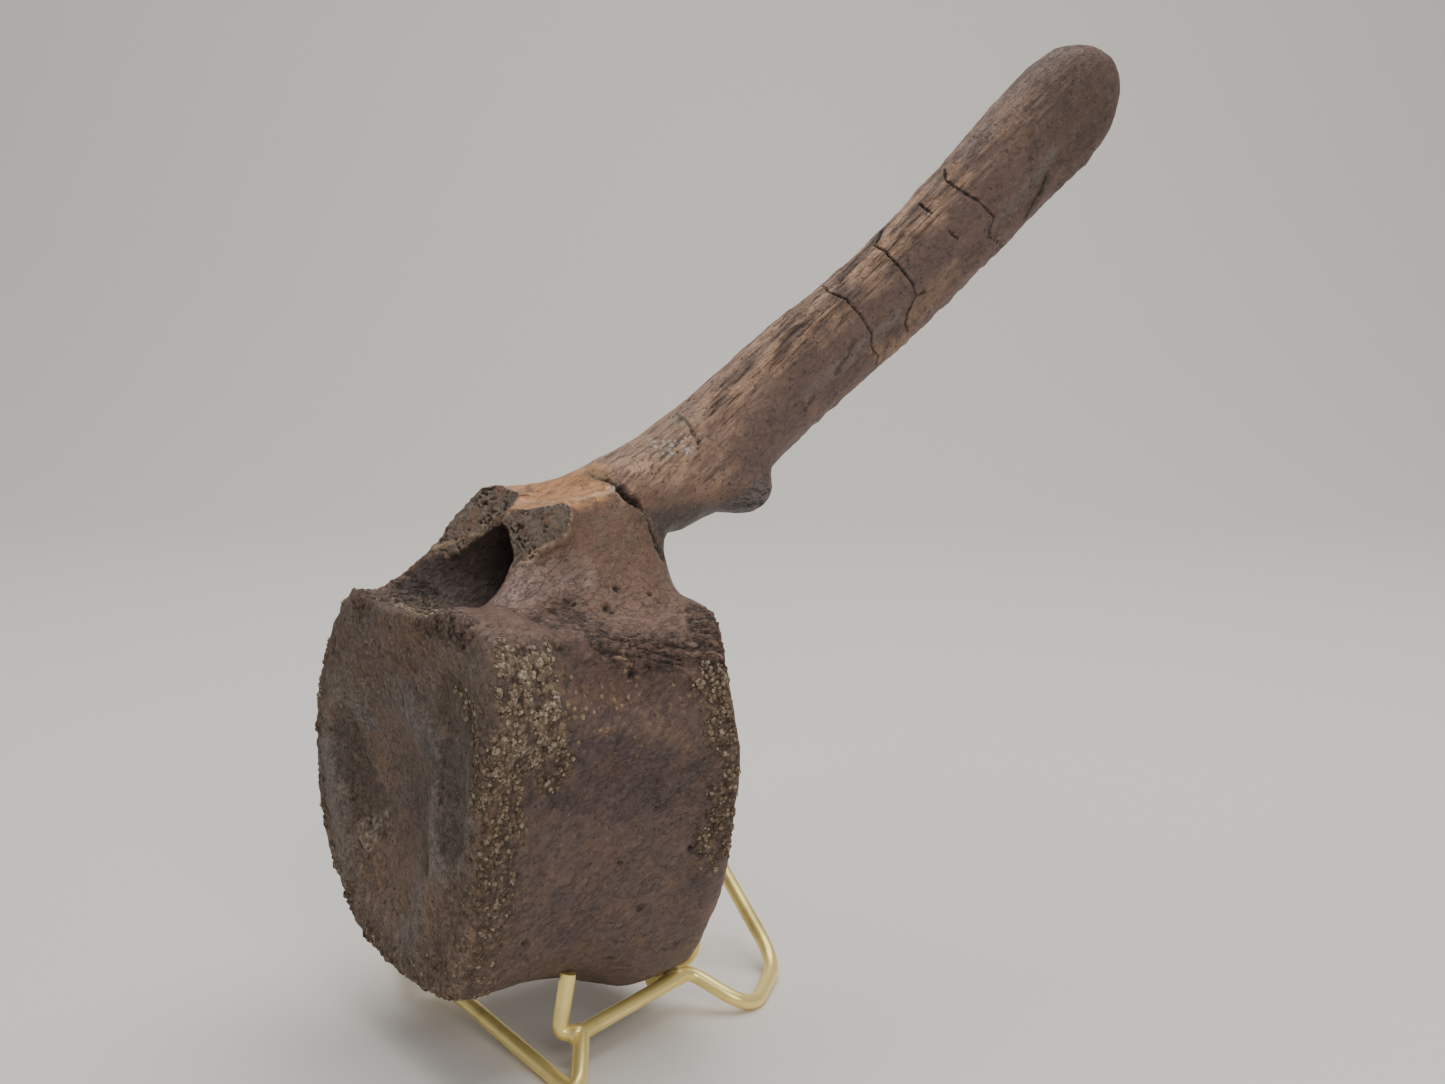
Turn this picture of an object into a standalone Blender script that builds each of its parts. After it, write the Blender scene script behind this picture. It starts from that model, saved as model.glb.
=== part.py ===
"""Fossil tail vertebra of a duck-billed dinosaur, resting on a bent brass wire stand.

Metres, +Z up. The bone's front is at -X, its neural spine leans back to +X, and its left side is at -Y.
Every outline below is in millimetres, in the bone's own frame: X from the front face, Y from the
middle plane, Z from the floor.
"""

from math import atan2, cos, hypot, pi, radians, sin

import bmesh
import bpy
from mathutils import Vector

MM = 0.001

# Driving dimensions of the vertebra, in millimetres
CENTRUM_LENGTH = 82.0
CENTRUM_MIDDLE_Z = 78.0
REAR_DROP = 6.0
SIDE_WAIST = 0.09
BELLY_WAIST = 0.035
DISH_DEPTH = 6.0
FRONT_CORNER_SET_BACK = 4.5
VOXEL = 1.6
KEPT_SHARE = 0.102

# Driving dimensions of the stand, in millimetres
WIRE_DIAMETER = 4.5
GAP = 0.3

# How far the bone's own frame is moved so that the whole part stands centred on the origin
CENTRE_X = 135.265
CENTRE_Y = 16.685


def clear_scene():
    for item in list(bpy.data.objects):
        bpy.data.objects.remove(item, do_unlink=True)


def make_material(name, colour, roughness, metallic):
    material = bpy.data.materials.new(name)
    material.use_nodes = True
    shader = material.node_tree.nodes["Principled BSDF"]
    shader.inputs["Base Color"].default_value = (*colour, 1.0)
    shader.inputs["Roughness"].default_value = roughness
    shader.inputs["Metallic"].default_value = metallic
    return material


def smooth_step(t):
    t = min(max(t, 0.0), 1.0)
    return t * t * (3.0 - 2.0 * t)


def curve_value(points, t):
    """Smooth curve (Catmull-Rom) through (position, value) points, read at t."""
    if t <= points[0][0]:
        return points[0][1]
    for i in range(len(points) - 1):
        (t0, v0), (t1, v1) = points[i], points[i + 1]
        if t <= t1:
            before = points[i - 1] if i else (2 * t0 - t1, v0)
            after = points[i + 2] if i + 2 < len(points) else (2 * t1 - t0, v1)
            slope0 = (v1 - before[1]) / (t1 - before[0]) * (t1 - t0)
            slope1 = (after[1] - v0) / (after[0] - t0) * (t1 - t0)
            s = (t - t0) / (t1 - t0)
            a = 2 * s**3 - 3 * s**2 + 1
            b = s**3 - 2 * s**2 + s
            c = -2 * s**3 + 3 * s**2
            d = s**3 - s**2
            return a * v0 + b * slope0 + c * v1 + d * slope1
    return points[-1][1]


def ring_value(points, angle):
    """The same curve around a full turn, for (degrees, value) points."""
    turn = angle % 360.0
    loop = [(a - 360.0, v) for a, v in points[-2:]] + points + [(a + 360.0, v) for a, v in points[:2]]
    return curve_value(loop[:1] + loop[1:], turn)


def skin_rings(bm, rings, start_cap=None, end_cap=None):
    """Join rings of equal length with quads and close both ends to a point."""
    loops = [[bm.verts.new(Vector(p) * MM) for p in ring] for ring in rings]
    count = len(loops[0])
    for lower, upper in zip(loops, loops[1:]):
        for i in range(count):
            j = (i + 1) % count
            bm.faces.new((lower[i], lower[j], upper[j], upper[i]))
    for loop, tip, flip in ((loops[0], start_cap, True), (loops[-1], end_cap, False)):
        centre = sum((v.co for v in loop), Vector()) / count if tip is None else Vector(tip) * MM
        middle = bm.verts.new(centre)
        for i in range(count):
            j = (i + 1) % count
            corners = (loop[j], loop[i], middle) if flip else (loop[i], loop[j], middle)
            bm.faces.new(corners)


# Centrum: radius of its outline around the middle, in degrees from the right side (+Y), turning upward
FRONT_OUTLINE = [
    (0, 53.0),
    (30, 52.5),
    (48, 54.0),
    (61, 56.0),
    (75, 54.0),
    (90, 52.0),
    (103, 54.0),
    (117, 60.5),
    (131, 67.5),
    (141, 69.5),
    (154, 61.0),
    (174, 52.0),
    (200, 51.5),
    (218, 56.5),
    (232, 62.0),
    (252, 57.5),
    (272, 55.5),
    (298, 56.5),
    (318, 55.5),
    (338, 54.5),
]
REAR_OUTLINE = [
    (0, 50.0),
    (30, 54.0),
    (50, 61.0),
    (66, 58.0),
    (90, 48.0),
    (114, 58.5),
    (128, 64.0),
    (138, 60.0),
    (150, 55.5),
    (166, 53.5),
    (182, 50.0),
    (200, 50.0),
    (216, 52.5),
    (232, 56.0),
    (248, 61.5),
    (262, 61.0),
    (280, 60.0),
    (300, 59.0),
    (325, 54.0),
]
# Ridges and hollows of the front face: (y, z) points, half width and height in millimetres
FACE_FOLDS = [
    ([(22, 98), (12, 96), (-8, 96), (-19, 88), (-24, 76), (-24, 62), (-20, 48)], 7.5, 2.9),
    ([(6, 90), (0, 78), (4, 60)], 12.0, -3.4),
    ([(-38, 112), (-40, 92), (-38, 68), (-33, 46)], 6.5, -2.4),
    ([(34, 98), (38, 78), (32, 56)], 7.0, 1.8),
]


def distance_to_path(point, path):
    best = 1e9
    px, py = point
    for (ax, ay), (bx, by) in zip(path, path[1:]):
        dx, dy = bx - ax, by - ay
        t = max(0.0, min(1.0, ((px - ax) * dx + (py - ay) * dy) / (dx * dx + dy * dy)))
        best = min(best, hypot(px - ax - t * dx, py - ay - t * dy))
    return best


def face_relief(y, z, share):
    """How far the front face stands out, at a share of the way from its middle to its rim."""
    height = -DISH_DEPTH * (1.0 - smooth_step(share) ** 1.2)
    fade = 1.0 - smooth_step((share - 0.80) / 0.18)
    for path, half_width, amount in FACE_FOLDS:
        away = distance_to_path((y, z), path) / half_width
        height += fade * amount * 2.718 ** (-away * away)
    return height


# Ridges and hollows of the left and right sides: (x, z) points, half width and height in millimetres
SIDE_FOLDS = [
    ([(14, 104), (28, 101), (44, 96), (60, 93)], 6.5, 3.2),
    ([(22, 88), (38, 85), (54, 82)], 10.0, -3.4),
    ([(18, 122), (34, 118.5), (52, 115.5), (72, 112)], 4.0, 3.4),
    ([(26, 111), (44, 108), (62, 105)], 4.5, -2.4),
    ([(2, 126), (1, 96), (1, 60), (8, 30)], 8.0, 0.9),
]
# Low bosses under the rear rim, for the chevron bone: along, degrees, half widths and height
REAR_BOSSES = [(0.72, 244.0, 0.16, 14.0, 6.0), (0.74, 296.0, 0.17, 14.0, 4.5)]


def centrum_point(angle, along, share=1.0):
    """A point of the centrum's side, at a share of the length from front to rear."""
    front = ring_value(FRONT_OUTLINE, angle)
    rear = ring_value(REAR_OUTLINE, angle)
    below = max(0.0, -sin(radians(angle)))
    waist = SIDE_WAIST + (BELLY_WAIST - SIDE_WAIST) * smooth_step(below * 1.25 - 0.15)
    radius = front + (rear - front) * smooth_step(along)
    radius *= 1.0 - waist * sin(pi * min(max(along, 0.0), 1.0)) ** 0.8
    y = radius * cos(radians(angle))
    z = radius * sin(radians(angle)) + CENTRUM_MIDDLE_Z - REAR_DROP * along
    if 0.0 < along < 1.0:
        for path, half_width, amount in SIDE_FOLDS:
            away = distance_to_path((along * CENTRUM_LENGTH, z), path) / half_width
            radius += amount * abs(cos(radians(angle))) * 2.718 ** (-away * away)
        for boss_along, boss_angle, wide, round_, height in REAR_BOSSES:
            away = hypot((along - boss_along) / wide, (angle % 360.0 - boss_angle) / round_)
            radius += height * 2.718 ** (-away * away)
    y = radius * share * cos(radians(angle))
    z = radius * share * sin(radians(angle)) + CENTRUM_MIDDLE_Z - REAR_DROP * along
    return y, z


def add_centrum(bm):
    sides = 84
    angles = [360.0 * i / sides for i in range(sides)]
    rings = []
    for share in (0.12, 0.24, 0.36, 0.48, 0.60, 0.72, 0.82, 0.90, 0.955):
        ring = []
        for angle in angles:
            y, z = centrum_point(angle, 0.0, share)
            lean = FRONT_CORNER_SET_BACK * share**2 * 2.718 ** (-(((angle - 138.0) / 32.0) ** 2))
            ring.append((lean - face_relief(y, z, share), y, z))
        rings.append(ring)
    for along in (0.02, 0.06, 0.12, 0.20, 0.30, 0.40, 0.50, 0.60, 0.70, 0.80, 0.88, 0.95, 0.99):
        share = 0.985 if along in (0.02, 0.99) else 1.0
        ring = []
        for angle in angles:
            lean = FRONT_CORNER_SET_BACK * (1.0 - along) ** 3 * 2.718 ** (-(((angle - 138.0) / 32.0) ** 2))
            ring.append((lean + CENTRUM_LENGTH * along, *centrum_point(angle, along, share)))
        rings.append(ring)
    for share, depth in ((0.93, -0.5), (0.80, 2.0), (0.60, 4.5), (0.40, 6.5), (0.20, 7.5)):
        rings.append([(CENTRUM_LENGTH - depth, *centrum_point(a, 1.0, share)) for a in angles])
    skin_rings(bm, rings)


# Branches that lie in the middle plane: x, z, half depth across the path, half thickness along Y
SPINE = [
    (60, 152, 5, 11),
    (70, 153, 8.5, 12),
    (86, 152.3, 15.2, 11.5),
    (106, 161, 17.5, 10.2),
    (121, 172.3, 17, 9.2),
    (141, 185.8, 17, 8.4),
    (165.5, 201.3, 16.8, 8.0),
    (188, 218, 17.5, 8.0),
    (208.3, 234.5, 18, 8.4),
    (228.5, 251, 19.2, 9.2),
    (246, 264.8, 19.5, 10.0),
    (256, 272.5, 17.5, 9.6),
    (262.5, 276.5, 13, 8.0),
    (267.6, 279.3, 7.5, 5.2),
]
SPINE_TIP = (271.5, 0, 281.5)
REAR_FACETS = [
    (94, 156, 6, 7),
    (103, 153.5, 8.5, 9.5),
    (111, 151.5, 9.5, 11),
    (118, 150.5, 9.5, 11),
    (124, 151.5, 6.5, 8),
]


def add_branch(bm, stations, tip=None, sides=28, power=2.4):
    """A branch in the middle plane with rounded-square sections square to its path."""
    rings = []
    for i, (x, z, deep, thick) in enumerate(stations):
        before = stations[max(i - 1, 0)]
        after = stations[min(i + 1, len(stations) - 1)]
        heading = atan2(after[1] - before[1], after[0] - before[0])
        ring = []
        for k in range(sides):
            a = 2 * pi * k / sides
            across = deep * abs(cos(a)) ** (2 / power) * (1 if cos(a) > 0 else -1)
            side = thick * abs(sin(a)) ** (2 / power) * (1 if sin(a) > 0 else -1)
            ring.append((x - sin(heading) * across, side, z + cos(heading) * across))
        rings.append(ring)
    skin_rings(bm, rings, end_cap=tip)


# The arch without its canal, front to rear: x, then half width and height up one side, then the middle's top
ARCH = [
    (8, (37, 110), (34, 116), (30, 120), (26, 123), (15, 124), 122.5),
    (12, (38, 110), (35, 117), (31, 122), (26, 126), (17, 127), 125.5),
    (17, (38, 110), (34, 118), (29.5, 124.5), (25, 129), (18, 130.5), 129.0),
    (21, (38, 110), (33, 118), (27.5, 126.5), (23.5, 133), (19, 136), 134.0),
    (24, (38, 110), (32.5, 119), (25.5, 128), (22, 136), (20, 143), 143.0),
    (26, (38, 110), (32, 120), (24.5, 129), (21.5, 138), (21.5, 151), 150.5),
    (33, (38, 110), (32, 121), (23.5, 130), (20.5, 139), (21.5, 152.5), 150.0),
    (41, (38, 110), (32, 122), (23.5, 132), (21.0, 142), (19.0, 152.5), 150.0),
    (50, (38, 110), (32, 122), (23.0, 132), (19.5, 142), (15.5, 152.5), 151.5),
    (60, (38, 110), (32, 122), (22.0, 132), (18.0, 142.5), (13.0, 153.5), 156.5),
    (69, (38, 110), (31, 121), (20.5, 131.5), (16.0, 142.5), (11.5, 154), 160.5),
    (75, (36, 110), (29, 120), (18.0, 131), (13.5, 142), (10.3, 154), 162.0),
    (79, (33, 116), (25, 121), (15.0, 131), (12.0, 142), (9.8, 154), 163.0),
    (82.5, (22, 119.5), (19, 121.5), (12.0, 129), (9.8, 139), (9, 151), 161.5),
    (83.2, (10, 137), (10, 140), (9.8, 144), (9.5, 148), (9, 153), 161.5),
    (87, (8.5, 144), (9, 146), (9, 149), (9, 152), (8.5, 155), 161.0),
    (93, (7.5, 150), (8, 151), (8, 153), (8, 155), (8, 157), 161.0),
]
# How far the arch's front edge leans forward on the right side and back on the left, per half width
RIGHT_LEAN = 0.14
LEFT_LEAN = 0.36
# How much higher the roof's right rim stands, and how far the left wall is drawn in around one height
RIGHT_RISE = 2.2
LEFT_HOLLOW = 4.0
LEFT_HOLLOW_Z = 137.0
LEFT_HOLLOW_HALF = 6.5


def add_arch(bm):
    rings = []
    for x, *side, top in ARCH:
        fade = smooth_step((62 - x) / 40)
        half = []
        other = []
        for w, z in side:
            up = fade * smooth_step((z - 120) / 12)
            rise = RIGHT_RISE * smooth_step((66 - x) / 14) * smooth_step((z - 142) / 10)
            half.append((x - RIGHT_LEAN * up * w, w, z + rise))
            drawn_in = LEFT_HOLLOW * fade * 2.718 ** (-(((z - LEFT_HOLLOW_Z) / LEFT_HOLLOW_HALF) ** 2))
            other.append((x + LEFT_LEAN * up * w, drawn_in - w, z))
        foot, sill = side[0]
        low = [(x, y, sill - 2.0) for y in (-foot / 2, 0.0, foot / 2)]
        rings.append(low + half + [(x, 6.0, top), (x, 0.0, top - 0.4), (x, -6.0, top)] + other[::-1])
    skin_rings(bm, rings)


# The canal, front to rear: x, floor, then half width and height up one side, then the top
CANAL = [
    (-10, 134.0, (14, 134.5), (26, 136.0), (34, 138.0), (36, 146.0), 162),
    (0, 127.5, (14, 128.0), (25, 130.0), (32, 133.0), (34, 145.0), 162),
    (7, 123.5, (14, 124.2), (23, 127.0), (30, 132.0), (33, 145.0), 162),
    (13, 121.8, (13, 122.8), (21, 125.8), (26.5, 130.5), (30, 145.0), 160),
    (18, 121.0, (12.5, 122.2), (19, 126.0), (23, 131.5), (25, 145.0), 158),
    (22, 120.4, (12, 122.0), (17.5, 127.0), (19.5, 134.0), (18.5, 146.0), 157),
    (26, 120.0, (11.5, 121.8), (16.0, 128.0), (16.8, 137.5), (12, 149.0), 154),
    (31, 119.5, (11, 121.5), (14.5, 128.0), (13.2, 138.0), (7.5, 147.5), 150),
    (38, 119.3, (10.5, 121.5), (12.5, 129.0), (10.5, 139.0), (6.5, 145.5), 147.5),
    (46, 119.0, (10, 121.5), (10.5, 129.0), (9, 138.0), (5.5, 144.5), 146.5),
    (60, 119.0, (8.5, 121.5), (8.5, 129.0), (7, 138.0), (4, 143.5), 145.5),
    (76, 119.0, (8, 121.5), (7.5, 127.0), (5.5, 133.5), (3, 137.5), 139),
    (96, 119.0, (8, 121), (7, 125.5), (5, 131.5), (3, 134.5), 136),
]


def make_canal():
    rings = []
    for x, floor, *side, top in CANAL:
        ring = [(x, 0.0, floor)] + [(x, y, z) for y, z in side]
        rings.append(ring + [(x, 0.0, top)] + [(x, -y, z) for y, z in side[::-1]])
    bm = bmesh.new()
    skin_rings(bm, rings)
    bmesh.ops.recalc_face_normals(bm, faces=bm.faces)
    return make_cutter("canal_cutter", bm)


# Broken faces where the front joint processes are lost: x of the face is a + b * y + c * z, the missing
# part ends downward at d + e * |y|, and it reaches sideways from the last but one value to the last
BROKEN_FACES = {
    "left": (-89.0, -1.20, 0.745, 110.5, 1.60, -29.0, -8.8),
    "middle": (-73.7, 0.69, 0.75, 137.0, 0.0, -9.2, 6.3),
    "right": (-65.0, -0.70, 0.75, 135.5, 0.0, 5.9, 29.0),
}
BREAK_TOP = 172.0
BREAK_DEPTH_LOW = 13.0
BREAK_DEPTH_HIGH = 34.0


def make_break(name):
    """A missing part of the front joint processes, as a block that cuts the arch."""
    a, b, c, d, e, from_y, to_y = BROKEN_FACES[name]
    bm = bmesh.new()
    corners = []
    for y in (from_y, to_y):
        for z, depth in ((d + e * abs(y), BREAK_DEPTH_LOW), (BREAK_TOP, BREAK_DEPTH_HIGH)):
            x = a + b * y + c * z
            corners += [bm.verts.new(Vector((face_x, y, z)) * MM) for face_x in (x - depth, x)]
    bmesh.ops.convex_hull(bm, input=corners)
    bmesh.ops.recalc_face_normals(bm, faces=bm.faces)
    return make_cutter(name + "_break_cutter", bm)


def make_cutter(name, bm):
    mesh = bpy.data.meshes.new(name)
    bm.to_mesh(mesh)
    bm.free()
    block = bpy.data.objects.new(name, mesh)
    bpy.context.collection.objects.link(block)
    block.hide_render = True
    block.display_type = "WIRE"
    return block


# Corners of each wire's centre line, in the bone's frame. The base is one closed ring with three feet.
BASE_CORNERS = [
    (38.5, -35.5, 10.0),
    (84.5, -19.0, 11.0),
    (96.5, -34.5, 1.6),
    (121.5, -12.2, 2.6),
    (119.5, 20.0, 31.0),
    (62.0, 86.0, 1.4),
    (40.0, 84.0, 1.4),
    (23.5, 38.0, 11.0),
    (27.8, -51.5, 0.5),
]
BASE_BENDS = [3.0, 5.0, 12.0, 18.0, 9.0, 8.0, 8.0, 20.0, 3.0]
FRONT_ARM = [(36.8, -31.6, 26.0), (33.4, -31.8, 9.4), (36.45, -33.95, 9.8)]
REAR_ARM = [(84.8, -25.0, 35.0), (85.7, -18.8, 17.0), (86.0, -13.3, 11.2), (72.0, -18.3, 10.7)]
RIGHT_ARM = [(31.0, 30.0, 26.0), (28.8, 35.0, 10.6), (29.5, 18.0, 8.9)]


# Most of a leg that one bend may take up: an end leg has one bend, an inner leg has two
END_LEG_SHARE = 0.95
INNER_LEG_SHARE = 0.46


def wire_line(corners, bends, closed):
    """The wire's centre line: straight runs joined by round bends."""
    points = [Vector(c) for c in corners]
    count = len(points)
    line = []
    for i, corner in enumerate(points):
        if not closed and i in (0, count - 1):
            line.append(corner)
            continue
        back = (points[i - 1] - corner)
        ahead = (points[(i + 1) % count] - corner)
        angle = back.angle(ahead)
        radius = bends[i] if closed else bends
        back_share = END_LEG_SHARE if not closed and i == 1 else INNER_LEG_SHARE
        ahead_share = END_LEG_SHARE if not closed and i == count - 2 else INNER_LEG_SHARE
        free = min(back_share * back.length, ahead_share * ahead.length)
        reach = min(radius / max(0.02, sin(angle / 2) / cos(angle / 2)), free)
        start = corner + back.normalized() * reach
        end = corner + ahead.normalized() * reach
        steps = max(2, round((pi - angle) / radians(16)))
        for k in range(steps + 1):
            t = k / steps
            inner = start.lerp(corner, t)
            outer = corner.lerp(end, t)
            line.append(inner.lerp(outer, t))
    return line


def sweep_wire(bm, line, radius, closed, sides=10):
    """Sweep a circle along the line, turning it as little as possible from ring to ring."""
    count = len(line)
    headings = []
    for i in range(count):
        before = line[i - 1] if closed or i else line[0]
        after = line[(i + 1) % count] if closed or i < count - 1 else line[-1]
        headings.append((after - before).normalized())
    side = headings[0].orthogonal().normalized()
    frames = []
    for heading in headings:
        side = (side - heading * side.dot(heading)).normalized()
        frames.append((side, heading.cross(side)))
    twist = 0.0
    if closed:
        side = (frames[-1][0] - headings[0] * frames[-1][0].dot(headings[0])).normalized()
        twist = atan2(side.dot(frames[0][1]), side.dot(frames[0][0]))
    rings = []
    for i, point in enumerate(line):
        turn = -twist * i / count
        ring = []
        for k in range(sides):
            a = 2 * pi * k / sides + turn
            ring.append(bm.verts.new((point + (frames[i][0] * cos(a) + frames[i][1] * sin(a)) * radius) * MM))
        rings.append(ring)
    pairs = list(zip(rings, rings[1:])) + ([(rings[-1], rings[0])] if closed else [])
    for lower, upper in pairs:
        for k in range(sides):
            j = (k + 1) % sides
            bm.faces.new((lower[k], lower[j], upper[j], upper[k]))
    if not closed:
        bm.faces.new(rings[0][::-1])
        bm.faces.new(rings[-1])
    bmesh.ops.recalc_face_normals(bm, faces=bm.faces)


def make_wire(name, corners, bends, closed, radius, material):
    bm = bmesh.new()
    sweep_wire(bm, wire_line(corners, bends, closed), radius, closed)
    # worn flats under the feet
    whole = bm.verts[:] + bm.edges[:] + bm.faces[:]
    cut = bmesh.ops.bisect_plane(bm, geom=whole, plane_co=(0, 0, 0), plane_no=(0, 0, 1), clear_inner=True)
    rim = [e for e in cut["geom_cut"] if isinstance(e, bmesh.types.BMEdge)]
    if rim:
        bmesh.ops.edgeloop_fill(bm, edges=rim)
    bmesh.ops.recalc_face_normals(bm, faces=bm.faces)
    mesh = bpy.data.meshes.new(name)
    bm.to_mesh(mesh)
    bm.free()
    wire = bpy.data.objects.new(name, mesh)
    bpy.context.collection.objects.link(wire)
    if material:
        wire.data.materials.append(material)
    wire.data.shade_smooth()
    wire.data.set_sharp_from_angle(angle=radians(50))
    return wire


WIRES = {
    "base_wire": (BASE_CORNERS, BASE_BENDS, True),
    "front_arm": (FRONT_ARM, 3.0, False),
    "rear_arm": (REAR_ARM, 5.0, False),
    "right_arm": (RIGHT_ARM, 5.0, False),
}


def add_remesh(bone, name):
    fuse = bone.modifiers.new(name, "REMESH")
    fuse.mode = "VOXEL"
    fuse.voxel_size = VOXEL * MM


def add_cut(bone, name, block, parent):
    block.parent = parent
    cut = bone.modifiers.new(name, "BOOLEAN")
    cut.operation = "DIFFERENCE"
    cut.solver = "EXACT"
    cut.object = block


def make_vertebra(material, parent):
    bm = bmesh.new()
    add_centrum(bm)
    add_branch(bm, SPINE, SPINE_TIP)
    add_branch(bm, REAR_FACETS, power=2.2)
    add_arch(bm)
    bmesh.ops.recalc_face_normals(bm, faces=bm.faces)
    mesh = bpy.data.meshes.new("vertebra")
    bm.to_mesh(mesh)
    bm.free()
    bone = bpy.data.objects.new("vertebra", mesh)
    bpy.context.collection.objects.link(bone)
    bone.parent = parent
    bone.data.materials.append(material)

    add_remesh(bone, "fuse the lofts")
    add_cut(bone, "open the canal", make_canal(), parent)
    for name in BROKEN_FACES:
        add_cut(bone, "snap the " + name + " process", make_break(name), parent)
    add_remesh(bone, "even out the mesh")
    soften = bone.modifiers.new("soften the joins", "SMOOTH")
    soften.factor = 0.5
    soften.iterations = 4
    thin = bone.modifiers.new("thin the mesh", "DECIMATE")
    thin.ratio = KEPT_SHARE
    thin.use_collapse_triangulate = True
    bone.data.shade_smooth()
    return bone


def cut_seats(bone):
    """Hollow the bone where a wire bears on it, with a small gap left around the wire."""
    for name, (corners, bends, closed) in WIRES.items():
        seat = make_wire("seat_of_" + name, corners, bends, closed, WIRE_DIAMETER / 2 + GAP, None)
        seat.hide_render = True
        seat.display_type = "WIRE"
        seat.parent = bone.parent
        cut = bone.modifiers.new("seat of " + name, "BOOLEAN")
        cut.operation = "DIFFERENCE"
        cut.solver = "EXACT"
        cut.object = seat


def main():
    clear_scene()
    bone_material = make_material("fossil bone", (0.10, 0.062, 0.045), 0.55, 0.0)
    brass_material = make_material("polished brass", (0.72, 0.55, 0.24), 0.18, 1.0)
    frame = bpy.data.objects.new("bone frame", None)
    frame.location = (-CENTRE_X * MM, -CENTRE_Y * MM, 0.0)
    bpy.context.collection.objects.link(frame)
    bone = make_vertebra(bone_material, frame)
    for name, (corners, bends, closed) in WIRES.items():
        wire = make_wire(name, corners, bends, closed, WIRE_DIAMETER / 2, brass_material)
        wire.parent = frame
    cut_seats(bone)


main()
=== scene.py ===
# %% [markdown]
# # A fossil tail vertebra resting on a brass wire stand
#
# The bone is brown, silky and cracked, with gritty crust along its rims and spongy breaks where two
# processes are lost. The stand is bent from polished brass rod. The imported solids give every place and
# size, so the script loads them first and keeps their box.

# %% Load the imported part
import random
from math import cos, pi, radians, sin

import bmesh
import bpy
import numpy as np
from mathutils import Euler, Matrix, Vector, noise
from mathutils.bvhtree import BVHTree
from mathutils.kdtree import KDTree


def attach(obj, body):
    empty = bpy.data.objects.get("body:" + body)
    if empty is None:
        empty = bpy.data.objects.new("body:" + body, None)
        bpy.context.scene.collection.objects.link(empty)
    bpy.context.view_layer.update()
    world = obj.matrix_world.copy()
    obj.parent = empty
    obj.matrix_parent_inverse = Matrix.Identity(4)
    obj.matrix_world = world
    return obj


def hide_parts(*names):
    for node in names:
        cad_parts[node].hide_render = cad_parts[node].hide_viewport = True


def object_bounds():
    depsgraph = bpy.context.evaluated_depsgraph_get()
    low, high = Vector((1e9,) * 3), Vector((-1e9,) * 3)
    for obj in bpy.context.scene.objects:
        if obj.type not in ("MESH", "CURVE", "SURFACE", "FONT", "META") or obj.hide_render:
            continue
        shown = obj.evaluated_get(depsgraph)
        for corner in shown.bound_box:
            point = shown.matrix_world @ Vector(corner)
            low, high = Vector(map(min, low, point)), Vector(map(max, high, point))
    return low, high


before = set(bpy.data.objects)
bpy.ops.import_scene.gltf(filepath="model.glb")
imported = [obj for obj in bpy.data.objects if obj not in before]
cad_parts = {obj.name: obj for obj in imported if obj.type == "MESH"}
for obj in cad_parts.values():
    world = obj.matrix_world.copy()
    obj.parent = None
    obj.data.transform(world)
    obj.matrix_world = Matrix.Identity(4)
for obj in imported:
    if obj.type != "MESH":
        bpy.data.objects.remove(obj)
CAD_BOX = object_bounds()
MM = 0.001
print("nodes:", sorted(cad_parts))

# %% [markdown]
# ## The camera
#
# The photograph was taken with an ordinary lens from the front left of the bone, looking a little down.
# The camera comes first, because small features such as cracks are placed by the pixel where they are
# seen: a line of sight through that pixel is followed until it meets the bone.

# %% Camera and lines of sight
IMAGE_WIDTH, IMAGE_HEIGHT = 1445, 1084
LENS_MM = 45.0
SENSOR_MM = 36.0
CAMERA_PLACE = (-0.33107, -0.45339, 0.218)
LOOK_DOWN = radians(9)
LOOK_TURN = radians(-35)

camera = bpy.data.objects.new("camera", bpy.data.cameras.new("camera"))
camera.data.lens = LENS_MM
camera.data.sensor_width = SENSOR_MM
camera.location = CAMERA_PLACE
camera.rotation_euler = (pi / 2 - LOOK_DOWN, 0, LOOK_TURN)
bpy.context.collection.objects.link(camera)
bpy.context.scene.camera = camera


def sight_line(u, v):
    """Direction of the line of sight through a pixel of the photograph."""
    per_pixel = SENSOR_MM / LENS_MM / IMAGE_WIDTH
    local = Vector(((u - IMAGE_WIDTH / 2) * per_pixel, (IMAGE_HEIGHT / 2 - v) * per_pixel, -1.0))
    return (Euler((pi / 2 - LOOK_DOWN, 0, LOOK_TURN)).to_matrix() @ local).normalized()


# %% [markdown]
# ## A finer skin for the bone
#
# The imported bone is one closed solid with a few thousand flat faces. Real bone has no flat faces, so a
# copy is melted into an even net of small squares with a voxel remesh, and smoothed until the facets are
# gone. Sculpting by hand would do as well, but an even net lets code place every pit and crack.

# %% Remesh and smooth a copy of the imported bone
SKIN_VOXEL = 1.55 * MM
SKIN_SMOOTHING = 6
WELD = 0.01 * MM


def object_from(name, bm):
    mesh = bpy.data.meshes.new(name)
    bm.to_mesh(mesh)
    bm.free()
    made = bpy.data.objects.new(name, mesh)
    bpy.context.collection.objects.link(made)
    return made


def melted_copy(node):
    bm = bmesh.new()
    bm.from_mesh(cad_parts[node].data)
    bmesh.ops.remove_doubles(bm, verts=bm.verts, dist=WELD)
    rough = object_from("rough " + node, bm)
    melt = rough.modifiers.new("melt", "REMESH")
    melt.mode = "VOXEL"
    melt.voxel_size = SKIN_VOXEL
    soften = rough.modifiers.new("soften", "SMOOTH")
    soften.factor = 0.5
    soften.iterations = SKIN_SMOOTHING
    graph = bpy.context.evaluated_depsgraph_get()
    fine = bmesh.new()
    fine.from_mesh(bpy.data.meshes.new_from_object(rough.evaluated_get(graph)))
    bpy.data.objects.remove(rough)
    return fine


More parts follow.
